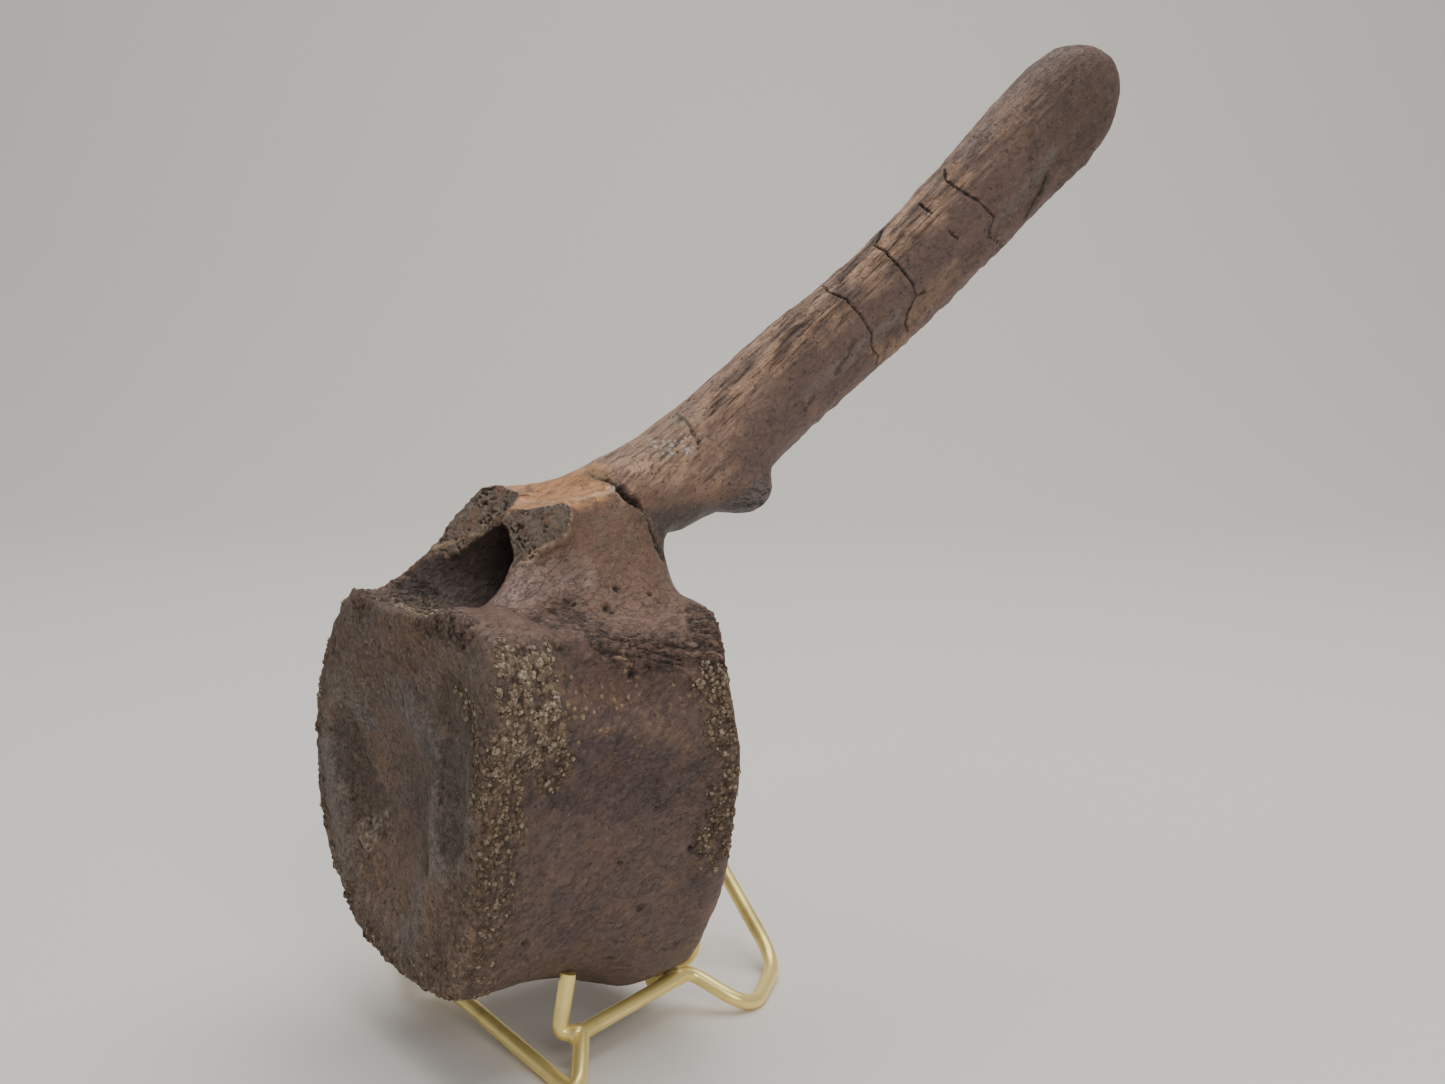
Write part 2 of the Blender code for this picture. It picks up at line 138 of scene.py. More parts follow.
skin = melted_copy("vertebra")
surface = BVHTree.FromBMesh(skin)
print("skin:", len(skin.verts), "points")

# %% [markdown]
# ## Landmarks on the bone
#
# Everything is described in the bone's own millimetres: X runs back from its front face, Y from the middle
# plane with the left side negative, and Z up from the floor. Cracks, pits and patches are paths of pixels
# from the photograph, dropped on the bone along lines of sight and filled in every half millimetre.

# %% Bone coordinates and paths on the surface
BONE_ORIGIN = Vector((-0.135265, -0.016685, 0.0))
PATH_STEP = 2  # pixels, about half a millimetre on the bone


def on_bone(u, v):
    """Point of the bone, in its own millimetres, that is seen at a pixel."""
    hit = surface.ray_cast(camera.location, sight_line(u, v))[0]
    return None if hit is None else (hit - BONE_ORIGIN) / MM


def path_on_bone(pixels):
    """Points of the bone, about every half millimetre, along a line of pixels."""
    points = []
    for (u0, v0), (u1, v1) in zip(pixels, pixels[1:]):
        count = max(2, int(max(abs(u1 - u0), abs(v1 - v0)) / PATH_STEP))
        for k in range(count):
            t = k / count
            hit = on_bone(u0 + (u1 - u0) * t, v0 + (v1 - v0) * t)
            if hit is not None:
                points.append(hit)
    return points


def distance_to(points, places):
    """Distance in millimetres from every place to the nearest point."""
    tree = KDTree(len(points))
    for i, point in enumerate(points):
        tree.insert(point, i)
    tree.balance()
    return np.array([tree.find(place)[2] for place in places])


def rise(value, low, high):
    """Smooth step from 0 at low to 1 at high, or the reverse when low is above high."""
    t = np.clip((value - low) / (high - low), 0.0, 1.0)
    return t * t * (3.0 - 2.0 * t)


def lumps(places, size, octaves=3, stretch=(1.0, 1.0, 1.0), shift=0.0):
    """Soft noise, about -1 to 1, whose lumps are as wide as the size in millimetres."""
    scaled = places / (np.array(stretch) * size) + shift
    return np.array([noise.fractal(Vector(q), 1.0, 2.0, octaves) for q in scaled])


# Middle line of the neural spine in the XZ plane, from the arch to the tip, and half its depth
SPINE_LINE = np.array([(86, 153.3), (106, 161), (121, 172.3), (141, 185.8), (165.5, 201.3), (188, 218),
                       (208.3, 234.5), (228.5, 251), (246, 264.8), (262.5, 276.5)])
SPINE_HALF_DEPTH = 18.0


def along_spine(places):
    """Distance along the spine, and height across it from -1 on the rear edge to 1 on the front edge."""
    flat = places[:, (0, 2)]
    along = np.zeros(len(places))
    across = np.zeros(len(places))
    nearest = np.full(len(places), 1e9)
    done = 0.0
    for a, b in zip(SPINE_LINE, SPINE_LINE[1:]):
        length = np.linalg.norm(b - a)
        heading = (b - a) / length
        t = np.clip((flat - a) @ heading, 0.0, length)
        offset = flat - a - t[:, None] * heading
        distance = np.linalg.norm(offset, axis=1)
        closer = distance < nearest
        nearest[closer] = distance[closer]
        along[closer] = done + t[closer]
        across[closer] = (offset @ np.array((-heading[1], heading[0])))[closer] / SPINE_HALF_DEPTH
        done += length
    return along, across


# %% [markdown]
# ## Cracks, breaks and pits
#
# The spine was broken and put together again, so dark cracks cross it, and a gap is left open where it
# joins the arch. Cracks go right round a bone, so each one is also laid on the hidden side, shifted a
# little. Near them the net is split twice, because a crack is narrower than one square.

# %% Cracks and pits as pixel paths
CRACKS = {
    "first": [(823, 285), (828, 291), (846, 299), (860, 314), (872, 333), (873, 346), (879, 356), (876, 366)],
    "second": [(881, 233), (875, 245), (886, 251), (903, 270), (913, 283), (917, 296), (909, 313), (907, 323),
               (909, 333)],
    "branch": [(917, 296), (924, 293), (929, 290)],
    "third": [(944, 169), (946, 180), (957, 188), (969, 195), (978, 200), (986, 208), (995, 217), (993, 227),
              (991, 237), (1000, 244), (1005, 250)],
    "upper chip": [(920, 204), (929, 211), (934, 215)],
    "middle chip": [(950, 232), (955, 237), (960, 239)],
    "tip fissure": [(1048, 178), (1043, 190), (1034, 203), (1025, 219)],
    "repair": [(606, 480), (621, 487), (629, 497), (640, 505), (645, 518), (652, 533), (658, 547),
               (665, 562)],
}
OPEN_GAP = [(621, 489), (629, 497), (640, 505)]
GLUE_SHEEN = [(662, 446), (672, 443), (681, 445)]
GAP_FOOT = [(652, 533), (658, 547), (664, 560)]
FINE_LINES = {
    "base line": [(803, 410), (812, 400), (818, 388)],
    "lower line": [(836, 372), (848, 356), (856, 340)],
    "repair top": [(584, 475), (596, 478), (611, 482)],
    "filler edge": [(676, 414), (684, 420), (690, 427), (695, 437), (700, 446)],
}
PITS = [((633, 674), 1.1), ((617, 588), 1.1), ((608, 608), 1.3), ((612, 611), 0.9), ((650, 594), 0.7),
        ((659, 601), 0.7), ((640, 909), 0.9), ((619, 862), 0.8), ((607, 959), 0.9), ((692, 849), 1.0),
        ((701, 853), 0.8), ((525, 944), 0.9), ((564, 745), 0.9), ((515, 611), 0.6), ((1030, 160), 0.6)]
HIDDEN_SIDE_SHIFT = 3.0


def with_hidden_side(points):
    """The same crack on the right side of the bone, moved along the spine."""
    hidden = [Vector((p.x + HIDDEN_SIDE_SHIFT + 1.5 * noise.noise(p * 0.2), -p.y, p.z + HIDDEN_SIDE_SHIFT))
              for p in points]
    return points + hidden


crack_points = {name: with_hidden_side(path_on_bone(line)) for name, line in CRACKS.items()}
gap_points = with_hidden_side(path_on_bone(OPEN_GAP)) + path_on_bone(GAP_FOOT)
line_points = [p for line in FINE_LINES.values() for p in path_on_bone(line)]
all_cracks = [p for points in crack_points.values() for p in points]
print("crack points:", len(all_cracks), "gap:", len(gap_points))

# %% [markdown]
# The three broken faces are flat cuts through spongy bone. They are known planes, so a point belongs to a
# face when it lies close to its plane and faces out of it. The melted copy has rounded their rims, so the
# points are first laid back on the plane, which makes the rims crisp again.

# %% Where the bone is broken, and a finer net there
# x = a + b y + c z on each face, from one y to the other, above z = d + e |y|
BREAK_PLANES = {
    "left": (-89.0, -1.20, 0.745, -29.0, -9.0, 110.5, 1.60),
    "middle": (-73.7, 0.69, 0.75, -9.0, 6.0, 136.0, 0.0),
    "right": (-65.0, -0.70, 0.75, 6.0, 29.0, 134.5, 0.0),
}
BREAK_REAR = 53.0
BREAK_FACING = (0.45, 0.72)
BREAK_REACH = (3.4, 2.0)
FINE_REACH, GLUE_REACH, FINEST_REACH = 3.0, 6.0, 1.3
ARCH_FOOT = 127.5
ARCH_FOOT_FALL = 0.225


def bone_places(bm):
    return np.array([(v.co - BONE_ORIGIN) / MM for v in bm.verts])


def bone_normals(bm):
    bm.normal_update()
    return np.array([v.normal for v in bm.verts])


def broken_share(places, normals):
    """How far each point belongs to a broken face, and its distance from the plane, outward."""
    share = np.zeros(len(places))
    outward = np.zeros((len(places), 3))
    for a, b, c, from_y, to_y, d, e in BREAK_PLANES.values():
        facing = np.array((-1.0, b, c)) / np.linalg.norm((1.0, b, c))
        off = (a + b * places[:, 1] + c * places[:, 2] - places[:, 0]) / np.linalg.norm((1.0, b, c))
        here = (places[:, 1] > from_y) & (places[:, 1] <= to_y)
        here = here & (places[:, 2] > d + e * np.abs(places[:, 1]) - 0.4) & (places[:, 0] < BREAK_REAR)
        part = here * rise(normals @ facing, *BREAK_FACING) * rise(np.abs(off), *BREAK_REACH)
        outward += (part * off)[:, None] * facing
        share = np.maximum(share, part)
    return share, outward


def split_near(bm, wanted):
    """Split every edge whose two ends are both wanted."""
    chosen = [e for e in bm.edges if wanted[e.verts[0].index] and wanted[e.verts[1].index]]
    bmesh.ops.subdivide_edges(bm, edges=chosen, cuts=1, use_grid_fill=True)
    bmesh.ops.triangulate(bm, faces=[f for f in bm.faces if len(f.verts) > 4])
    bm.verts.index_update()


skin.verts.index_update()
places = bone_places(skin)
share, outward = broken_share(places, bone_normals(skin))
for vert, off in zip(skin.verts, outward):
    vert.co -= Vector(off) * MM

X, Y, Z = places.T
along, across = along_spine(places)
near_detail = distance_to(all_cracks + gap_points, places) < FINE_REACH
near_detail |= distance_to(path_on_bone(GLUE_SHEEN), places) < GLUE_REACH
on_arch = (Z > 108) & (Z < 157) & (X > -1) & (X < 84)
on_fibres = (along > 12) & (along < 160) & (across > 0.25) & (across < 1.3) & (Y < 2)
split_near(skin, (near_detail | on_arch | on_fibres | (X < 5)) & ((Z > 108) | (X > 2)))
places = bone_places(skin)
near_crack = distance_to(all_cracks + gap_points, places) < FINEST_REACH
split_near(skin, near_crack | (broken_share(places, bone_normals(skin))[0] > 0.1))
print("finer skin:", len(skin.verts), "points,", len(skin.faces), "faces")

# %% [markdown]
# ## Regions of the bone
#
# Each kind of surface has its own relief and colour: the silky body, the fibrous upper edge of the spine,
# the worn front face, the gritty rims and the spongy breaks. A region is a number from 0 to 1 at every
# point, made from the point's place and the way it faces, with noise to fray its edge.

# %% Region weights at every point
places = bone_places(skin)
normals = bone_normals(skin)
X, Y, Z = places.T
along, across = along_spine(places)
fray = lumps(places, 9, 3)
fine_fray = lumps(places, 3, 2, shift=7)

foot_height = Z - (ARCH_FOOT - ARCH_FOOT_FALL * X)
above_body = rise(foot_height + 2.5 * fray, -3, 3)
spine = rise(along + 3 * fray, 12, 24) * (Z > 148) * (X > 80)
arch = above_body * (1 - spine)
front_face = rise(-normals[:, 0], 0.45, 0.75) * rise(X, 10, 6) * (1 - arch)
rear_face = rise(normals[:, 0], 0.45, 0.75) * rise(X, 68, 72) * (1 - arch)
body_side = (1 - arch) * (1 - spine) * (1 - front_face) * (1 - rear_face)
broken = broken_share(places, normals)[0]
roof = arch * rise(normals[:, 2], 0.4, 0.72) * rise(X, 30, 36) * rise(X + 1.5 * fray, 69, 66)
roof *= rise(Z, 145, 149) * (1 - broken)
spine_root = arch * rise(X + 1.5 * fray, 64, 68) * rise(Z + 2 * fray, 149, 156)
inward = rise(-normals[:, 1] * np.sign(Y), 0.1, 0.5) * rise(np.abs(Y), 24, 19) * rise(X, 2, 10)
canal = arch * np.maximum(rise(np.abs(Y), 16, 11) * rise(X, 7, 15), inward)
canal *= rise(Z, 149, 145) * (1 - broken)

FIBRE_END = 165
fibrous = spine * rise(across + 0.25 * fray, 0.20, 0.70)
fibrous = np.maximum(fibrous * (0.35 + 0.65 * rise(along, FIBRE_END, FIBRE_END - 50)), 0.8 * spine_root)
rear_edge = spine * rise(across + 0.1 * fray, -0.72, -0.95)

CENTRUM_AXIS_Z = 77
from_axis = np.hypot(Y, Z - CENTRUM_AXIS_Z)
outer = rise(from_axis, 40, 46)
front_rim = body_side * outer * rise(X + 3 * fray, 20, 8) * (1 - 0.7 * rise(Z, 116, 124))
wide_rim = body_side * outer * rise(X + 4 * fray, 32, 19) * rise(Z, 84, 96) * rise(Z, 128, 120)
rear_rim = body_side * outer * rise(X + 3 * fray, 66, 75) * rise(Z, 44, 60) * rise(Z, 124, 112)
face_rim = front_face * rise(from_axis + 2 * fray, 40, 47) * rise(Z, 118, 108)
crust = np.clip(front_rim * (0.45 + 0.55 * rise(Z, 30, 90)) + wide_rim + rear_rim + 0.5 * face_rim, 0, 1)
crust *= rise(fine_fray + 0.6 * fray, -0.75, -0.05)
print("crust covers", round(float(crust.mean()), 3), "of the points; broken", round(float(broken.mean()), 3))


def patch(pixels, reach, both_sides=False):
    """A soft-edged patch around a line of pixels, also on the hidden side if both are alike."""
    points = path_on_bone(pixels) if len(pixels) > 1 else [on_bone(*pixels[0])]
    if both_sides:
        points = with_hidden_side(points)
    return rise(distance_to(points, places) + 0.25 * reach * fine_fray, reach, 0.5 * reach)


def patches(lines, reach):
    """Patches around several lines, as one."""
    return np.maximum.reduce([patch(line, reach) for line in lines])


CRUST_RING = [(540, 746), (548, 737), (560, 741), (566, 753), (563, 769), (556, 782), (545, 787), (538, 777)]
ROUGH_FOOT = [(548, 622), (570, 612), (592, 625), (606, 640), (640, 652), (700, 650)]
REAR_KNOB = [(702, 615), (708, 632), (712, 648)]
CANAL_SILL = [(412, 602), (430, 618), (450, 622), (462, 632)]
TOP_RIM = [(362, 600), (380, 590), (404, 588), (424, 598)]
SHOULDER_HOLLOW = [(575, 765), (610, 768), (650, 775)]
LOWER_FACET = [(738, 508), (752, 506), (764, 496)]
FILLER = [(588, 472), (600, 476), (612, 478)]
GREEN_FILLER = [(676, 418), (684, 424)]
FILLER_SEAM = [(643, 515), (652, 533), (658, 547)]
GLUE_SPOTS = [(612, 486), (619, 488), (622, 492)]
FACE_SPECKS = [(366, 840), (374, 828), (384, 816)]
FACE_RIDGES = [[(404, 695), (425, 740), (439, 765), (443, 800), (439, 863)],
               [(464, 758), (468, 800), (463, 856)], [(331, 754), (336, 800), (350, 868)],
               [(420, 885), (416, 920), (404, 950)]]
FACE_HOLLOWS = [[(345, 732), (354, 765), (366, 795), (380, 814)], [(427, 765), (424, 805), (428, 850)],
                [(453, 768), (455, 800), (453, 835)], [(450, 700), (462, 716), (472, 730)]]
# a small patch of painted grey-blue sheen on the front face
FACE_SHEEN = [(362, 712), (372, 722)]
FACE_REDDISH = [(388, 645), (400, 648), (414, 644)]
# ridge lines along the spine, raised a little and given a painted grey-blue sheen
SHEEN_RIDGES = [[(808, 393), (830, 374), (854, 355), (878, 335), (900, 316)],
               [(1004, 218), (1022, 196), (1040, 174), (1054, 152)]]
SHINE = [(508, 594), (524, 586), (544, 578), (566, 571), (582, 568)]
OCHRE_ZONE = [(566, 698), (600, 704), (630, 712), (656, 720)]
ROOF_LINE = [(522, 502), (545, 503), (567, 502), (590, 497), (614, 491)]
BREAK_RIMS = [[(433, 548), (450, 544), (467, 539), (484, 531), (496, 517)],
              [(567, 531), (555, 541), (543, 548), (531, 555), (513, 565)]]
ARCH_LEFT_TAN = [(402, 580), (420, 567), (436, 550)]
TAN_PATCHES = [[(873, 352), (888, 352), (904, 342)], [(914, 318), (930, 300), (945, 282), (955, 268)]]
crust = np.maximum(crust, patch(CRUST_RING, 2.6))
rough_foot = patch(ROUGH_FOOT, 7.5, True)
rear_knob = patch(REAR_KNOB, 7, True)
canal_sill = patch(CANAL_SILL, 6.5)
top_rim = patch(TOP_RIM, 6.5)
filler = np.maximum(patch(FILLER, 3), patch(FILLER_SEAM, 2.6))
break_rim = patches(BREAK_RIMS, 1.15)
roof_line = patch(ROOF_LINE, 1.1)
lower_facet = patch(LOWER_FACET, 7, True)
face_ridge = patches(FACE_RIDGES, 8) * front_face
face_hollow = patches(FACE_HOLLOWS, 9) * front_face
sheen_ridge = patches(SHEEN_RIDGES, 3.2)
shine = patch(SHINE, 7)
tan_patch = patches(TAN_PATCHES, 5) * rise(fine_fray + fray, -0.6, 0.2)
green_filler = patch(GREEN_FILLER, 3)
glue_and_glint = np.maximum(patch(GLUE_SPOTS, 1.8), 0.8 * patch(GLUE_SHEEN, 4) * rise(fine_fray, 0, 0.3))

# %% [markdown]
# ## Relief
#
# A displacement in a material would do for fine grain, but cracks and pits have to be real, so that they
# cast shadows and keep their shape when the part is looked at from the side. Each point is moved along its
# normal by the sum of the reliefs of the regions it lies in. Creases follow the lines where a noise
# crosses zero, which gives long branching wrinkles.

# %% Sum the reliefs in millimetres
SPINE_LEAN = radians(37)
BODY_GRAIN_LEAN = radians(28)
WRINKLE_LEAN = radians(-16)
# distance in millimetres at which a crack ends, and at which it is full, then how deep it is
CRACK_EDGES, CRACK_DEPTH = (0.70, 0.15), 0.9
GAP_EDGES, GAP_DEPTH = (1.8, 0.7), 2.6
LINE_EDGES, LINE_DEPTH = (0.9, 0.3), 0.35
PIT_DEPTH = 1.8
GROOVE_DEPTH = 0.7


def turned(lean):
    """Places with the first axis along the grain, for grain that leans up and back in the XZ plane."""
    return np.stack((X * cos(lean) + Z * sin(lean), Y, Z * cos(lean) - X * sin(lean)), axis=1)


def creases(field, width):
    """1 on the lines where a field crosses zero, falling to 0 at a given value of the field."""
    return rise(np.abs(field), width, 0)


def pits_at(centres, radii):
    """Depth share of round pits, 1 at the middle."""
    share = np.zeros(len(places))
    for centre, radius in zip(centres, radii):
        if centre is not None:
            away = np.linalg.norm(places - np.array(centre), axis=1) / radius
            share = np.maximum(share, 2.718 ** (-(away ** 2) * 1.2))
    return share


spine_grain = lumps(turned(SPINE_LEAN), 1.4, 3, stretch=(12, 1, 1))
body_grain = lumps(turned(BODY_GRAIN_LEAN), 3.2, 2, stretch=(4, 1, 1))
face_grain = lumps(places, 3, 2, stretch=(1, 1, 3.5), shift=11)
wrinkle_field = lumps(turned(WRINKLE_LEAN), 2, 3, stretch=(5, 1, 1), shift=17)
side_creases = creases(lumps(turned(BODY_GRAIN_LEAN), 4, 4, stretch=(2.5, 1, 1), shift=61), 0.07)
side_creases *= rise(fray, 0.05, 0.4)
grains = lumps(places, 1.7, 3, shift=19)

relief = 0.32 * lumps(places, 14, 3, shift=3) + 0.12 * lumps(places, 4, 2, shift=5)
relief += spine * 0.10 * spine_grain + fibrous * 0.34 * (spine_grain - 0.1)
relief -= fibrous * 0.18 * creases(lumps(turned(SPINE_LEAN), 2, 2, stretch=(14, 1, 1), shift=9), 0.08)
relief += body_side * 0.15 * body_grain + (front_face + rear_face) * 0.18 * face_grain
relief += arch * (1 - roof) * 0.07 * body_grain

outside = (1 - spine) * (1 - canal) * rise(X, 16, 30) * rise(-normals[:, 0], 0.5, 0.2)
suture = outside * rise(np.abs(foot_height + 1), 5, 1.5) * rise(fray + 0.5 * fine_fray, -0.5, 0.2)
rugged = 0.6 * suture + rough_foot * rise(fine_fray + fray, -1.1, -0.3) + rear_knob + 0.8 * lower_facet
rugged = np.clip(rugged, 0, 1)
relief += rugged * (1.5 * np.abs(wrinkle_field) - 0.45 + 0.25 * grains)
relief -= 0.3 * side_creases * (body_side + 0.35 * arch * (1 - roof) + front_face)
relief += shine * 0.22 * np.abs(lumps(turned(SPINE_LEAN), 1.6, 2, stretch=(4, 1, 1), shift=67))
relief += 0.3 * roof_line + 0.2 * break_rim
relief += 0.7 * face_ridge - face_hollow + 0.25 * sheen_ridge + tan_patch * (0.2 + 0.35 * grains)
fissure = creases(foot_height + 1 + 1.3 * fray + 0.5 * fine_fray, 1.3) * outside
relief -= 0.8 * fissure * rise(fray, -0.6, 0)

rim_edge = rise(np.abs(X - 1.5), 5, 1) * (1 - arch) * rise(-normals[:, 0], -0.1, 0.35)
rough_rim = np.clip(rim_edge + 1.2 * canal_sill + 1.2 * top_rim, 0, 1.3)
relief += rough_rim * (0.35 * lumps(places, 2.6, 3, shift=23) + 0.35 * grains)
relief -= np.clip(canal_sill + top_rim, 0, 1) * 0.9 * creases(lumps(places, 3.2, 3, shift=27), 0.2)
relief += crust * (0.20 + 0.45 * grains + 0.3 * fine_fray)
relief += rear_edge * 0.7 * lumps(places, 5, 3, shift=29)
relief += (filler + green_filler) * (0.25 + 0.8 * grains)
relief += glue_and_glint * (0.25 + 0.6 * lumps(places, 2, 2, shift=33))
groove = rise(np.abs(across + 0.45), 0.28, 0.06) * spine * rise(along, 60, 90) * rise(along, 210, 185)
relief -= GROOVE_DEPTH * groove

inner_break = rise(broken, 0.6, 1)
sponge = rise(lumps(places, 1, 2, shift=31), -0.08, -0.35)
sponge = sponge * rise(lumps(places, 5, 2, shift=38), -0.05, 0.30) * inner_break
relief -= broken * (0.9 * sponge + 0.20 * rise(lumps(places, 2.5, 2, shift=41), 0.1, -0.3) - 0.2 * grains)
spongy_mouth = arch * rise(X, 22, 12) * (1 - canal_sill)
relief -= spongy_mouth * 0.4 * creases(lumps(places, 2.4, 3, stretch=(1, 2, 1), shift=43), 0.15)

crack_distance = distance_to(all_cracks, places) + 0.2 * fine_fray
crack = rise(crack_distance, *CRACK_EDGES)
gap = rise(distance_to(gap_points, places) + 0.4 * fine_fray, *GAP_EDGES)
thin_line = rise(distance_to(line_points, places), *LINE_EDGES)
relief -= CRACK_DEPTH * crack + GAP_DEPTH * gap + LINE_DEPTH * thin_line
pit_places = [on_bone(u, v) for (u, v), _ in PITS]
pit = pits_at(pit_places, [radius for _, radius in PITS])
relief -= PIT_DEPTH * pit
print("relief from", round(float(relief.min()), 2), "to", round(float(relief.max()), 2), "mm")

# %% Move the points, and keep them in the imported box
GRIT_ROOM = 0.45
UNFOLD_ROUNDS = 4
FOLD_ANGLE = radians(110)
low, high = (Vector(corner) for corner in CAD_BOX)
for vert, depth, gritty_here in zip(skin.verts, relief, crust):
    vert.co += vert.normal * float(depth) * MM
    room = GRIT_ROOM * float(gritty_here) * MM
    vert.co = Vector([min(max(c, a + room), b - room) for c, a, b in zip(vert.co, low, high)])
bmesh.ops.triangulate(skin, faces=skin.faces)
for _ in range(UNFOLD_ROUNDS):
    folded = {v for e in skin.edges if e.calc_face_angle(0) > FOLD_ANGLE for v in e.verts}
    bmesh.ops.smooth_vert(skin, verts=list(folded), factor=0.5, use_axis_x=True, use_axis_y=True,
                          use_axis_z=True)
bmesh.ops.recalc_face_normals(skin, faces=skin.faces)
print("unfolded", len(folded), "points in the last round")
moved = np.array([v.co for v in skin.verts])
after_normals = bone_normals(skin)
ends = np.array([(e.verts[0].index, e.verts[1].index) for e in skin.edges])
bone = object_from("fossil_bone", skin)
bone.data.shade_smooth()
print("bone:", len(bone.data.polygons), "faces")

# %% [markdown]
# Shade is painted into hollows and light onto crests. How hollow a point is can be measured: it is how far
# the middle of its neighbours stands above it. Averaged a few times over the net, that number darkens
# the creases with painted shade and lightens the crests with painted light.

# %% Painted shade in hollows and painted light on crests
HOLLOW_ROUNDS = 2


def neighbour_mean(values):
    """Mean of each point's neighbours, for one number or one vector at every point."""
    total = np.zeros_like(values)
    count = np.zeros(len(values))
    for a, b in (ends.T, ends.T[::-1]):
        np.add.at(total, a, values[b])
        np.add.at(count, a, 1)
    return total / (count[:, None] if values.ndim > 1 else count)


hollow = np.einsum("ij,ij->i", neighbour_mean(moved) - moved, after_normals) / MM
for _ in range(HOLLOW_ROUNDS):
    hollow = 0.5 * hollow + 0.5 * neighbour_mean(hollow)
painted_hollow_shade = rise(hollow, 0, 0.09)
painted_crest_light = rise(-hollow, 0.01, 0.10)
print("hollows", round(float(painted_hollow_shade.mean()), 3), "crests", round(float(painted_crest_light.mean()), 3))

# %% [markdown]
# ## Colour of the bone
#
# The body is chocolate brown, the face greyer, the arch a lighter reddish brown, and the roof of the arch
# and the fibres along the spine are tan. These large patches are painted as a colour at every point, like
# thin washes laid over each other. The material adds what is finer than the net.

# %% Paint the washes
TONES = {
    "body": (84, 67, 61), "purple": (71, 56, 55), "rust": (108, 78, 56), "face": (99, 83, 72),
    "slate": (92, 89, 89), "arch": (105, 78, 63), "arch red": (97, 69, 57), "roof": (172, 124, 84),
    # spine base and highlight is the spine's own base tone and also the pale of painted highlights
    "canal": (68, 56, 52), "spine": (92, 73, 66), "fibre": (178, 142, 115), "spine base and highlight": (136, 110, 94),
    "spine tip": (79, 62, 53), "broken": (112, 99, 88), "rim": (176, 148, 120), "hole": (56, 47, 41),
    "rugged": (84, 66, 58), "crust": (60, 48, 40), "sand": (124, 101, 76), "pale crust": (128, 114, 96),
    "crack": (32, 27, 24), "filler": (100, 86, 72), "glue_and_glint": (205, 200, 196), "green": (122, 114, 96),
    # glue_and_glint is the white of painted glints on the glue
    "facet": (84, 78, 77),
    "speck": (150, 140, 128), "dust": (48, 38, 33), "below seam": (84, 62, 55),
    # painted sheen is the grey-blue of light on ridges, and deep is the painted shade of the face's hollows
    "painted sheen": (98, 93, 92), "olive": (104, 86, 68), "deep": (66, 55, 50), "roof shade": (126, 94, 72),
    "tan": (124, 100, 80),
}
ALBEDO_GAIN = 1.28


def linear(name):
    """A tone as light sees it, from the 0 to 255 values that a screen shows."""
    s = np.array(TONES[name]) / 255
    return np.where(s < 0.04045, s / 12.92, ((s + 0.055) / 1.055) ** 2.4) * ALBEDO_GAIN


def wash(paint, name, amount):
    """Lay a thin layer of a tone over the paint."""
    amount = np.clip(amount, 0, 1)[:, None]
    return paint * (1 - amount) + linear(name) * amount


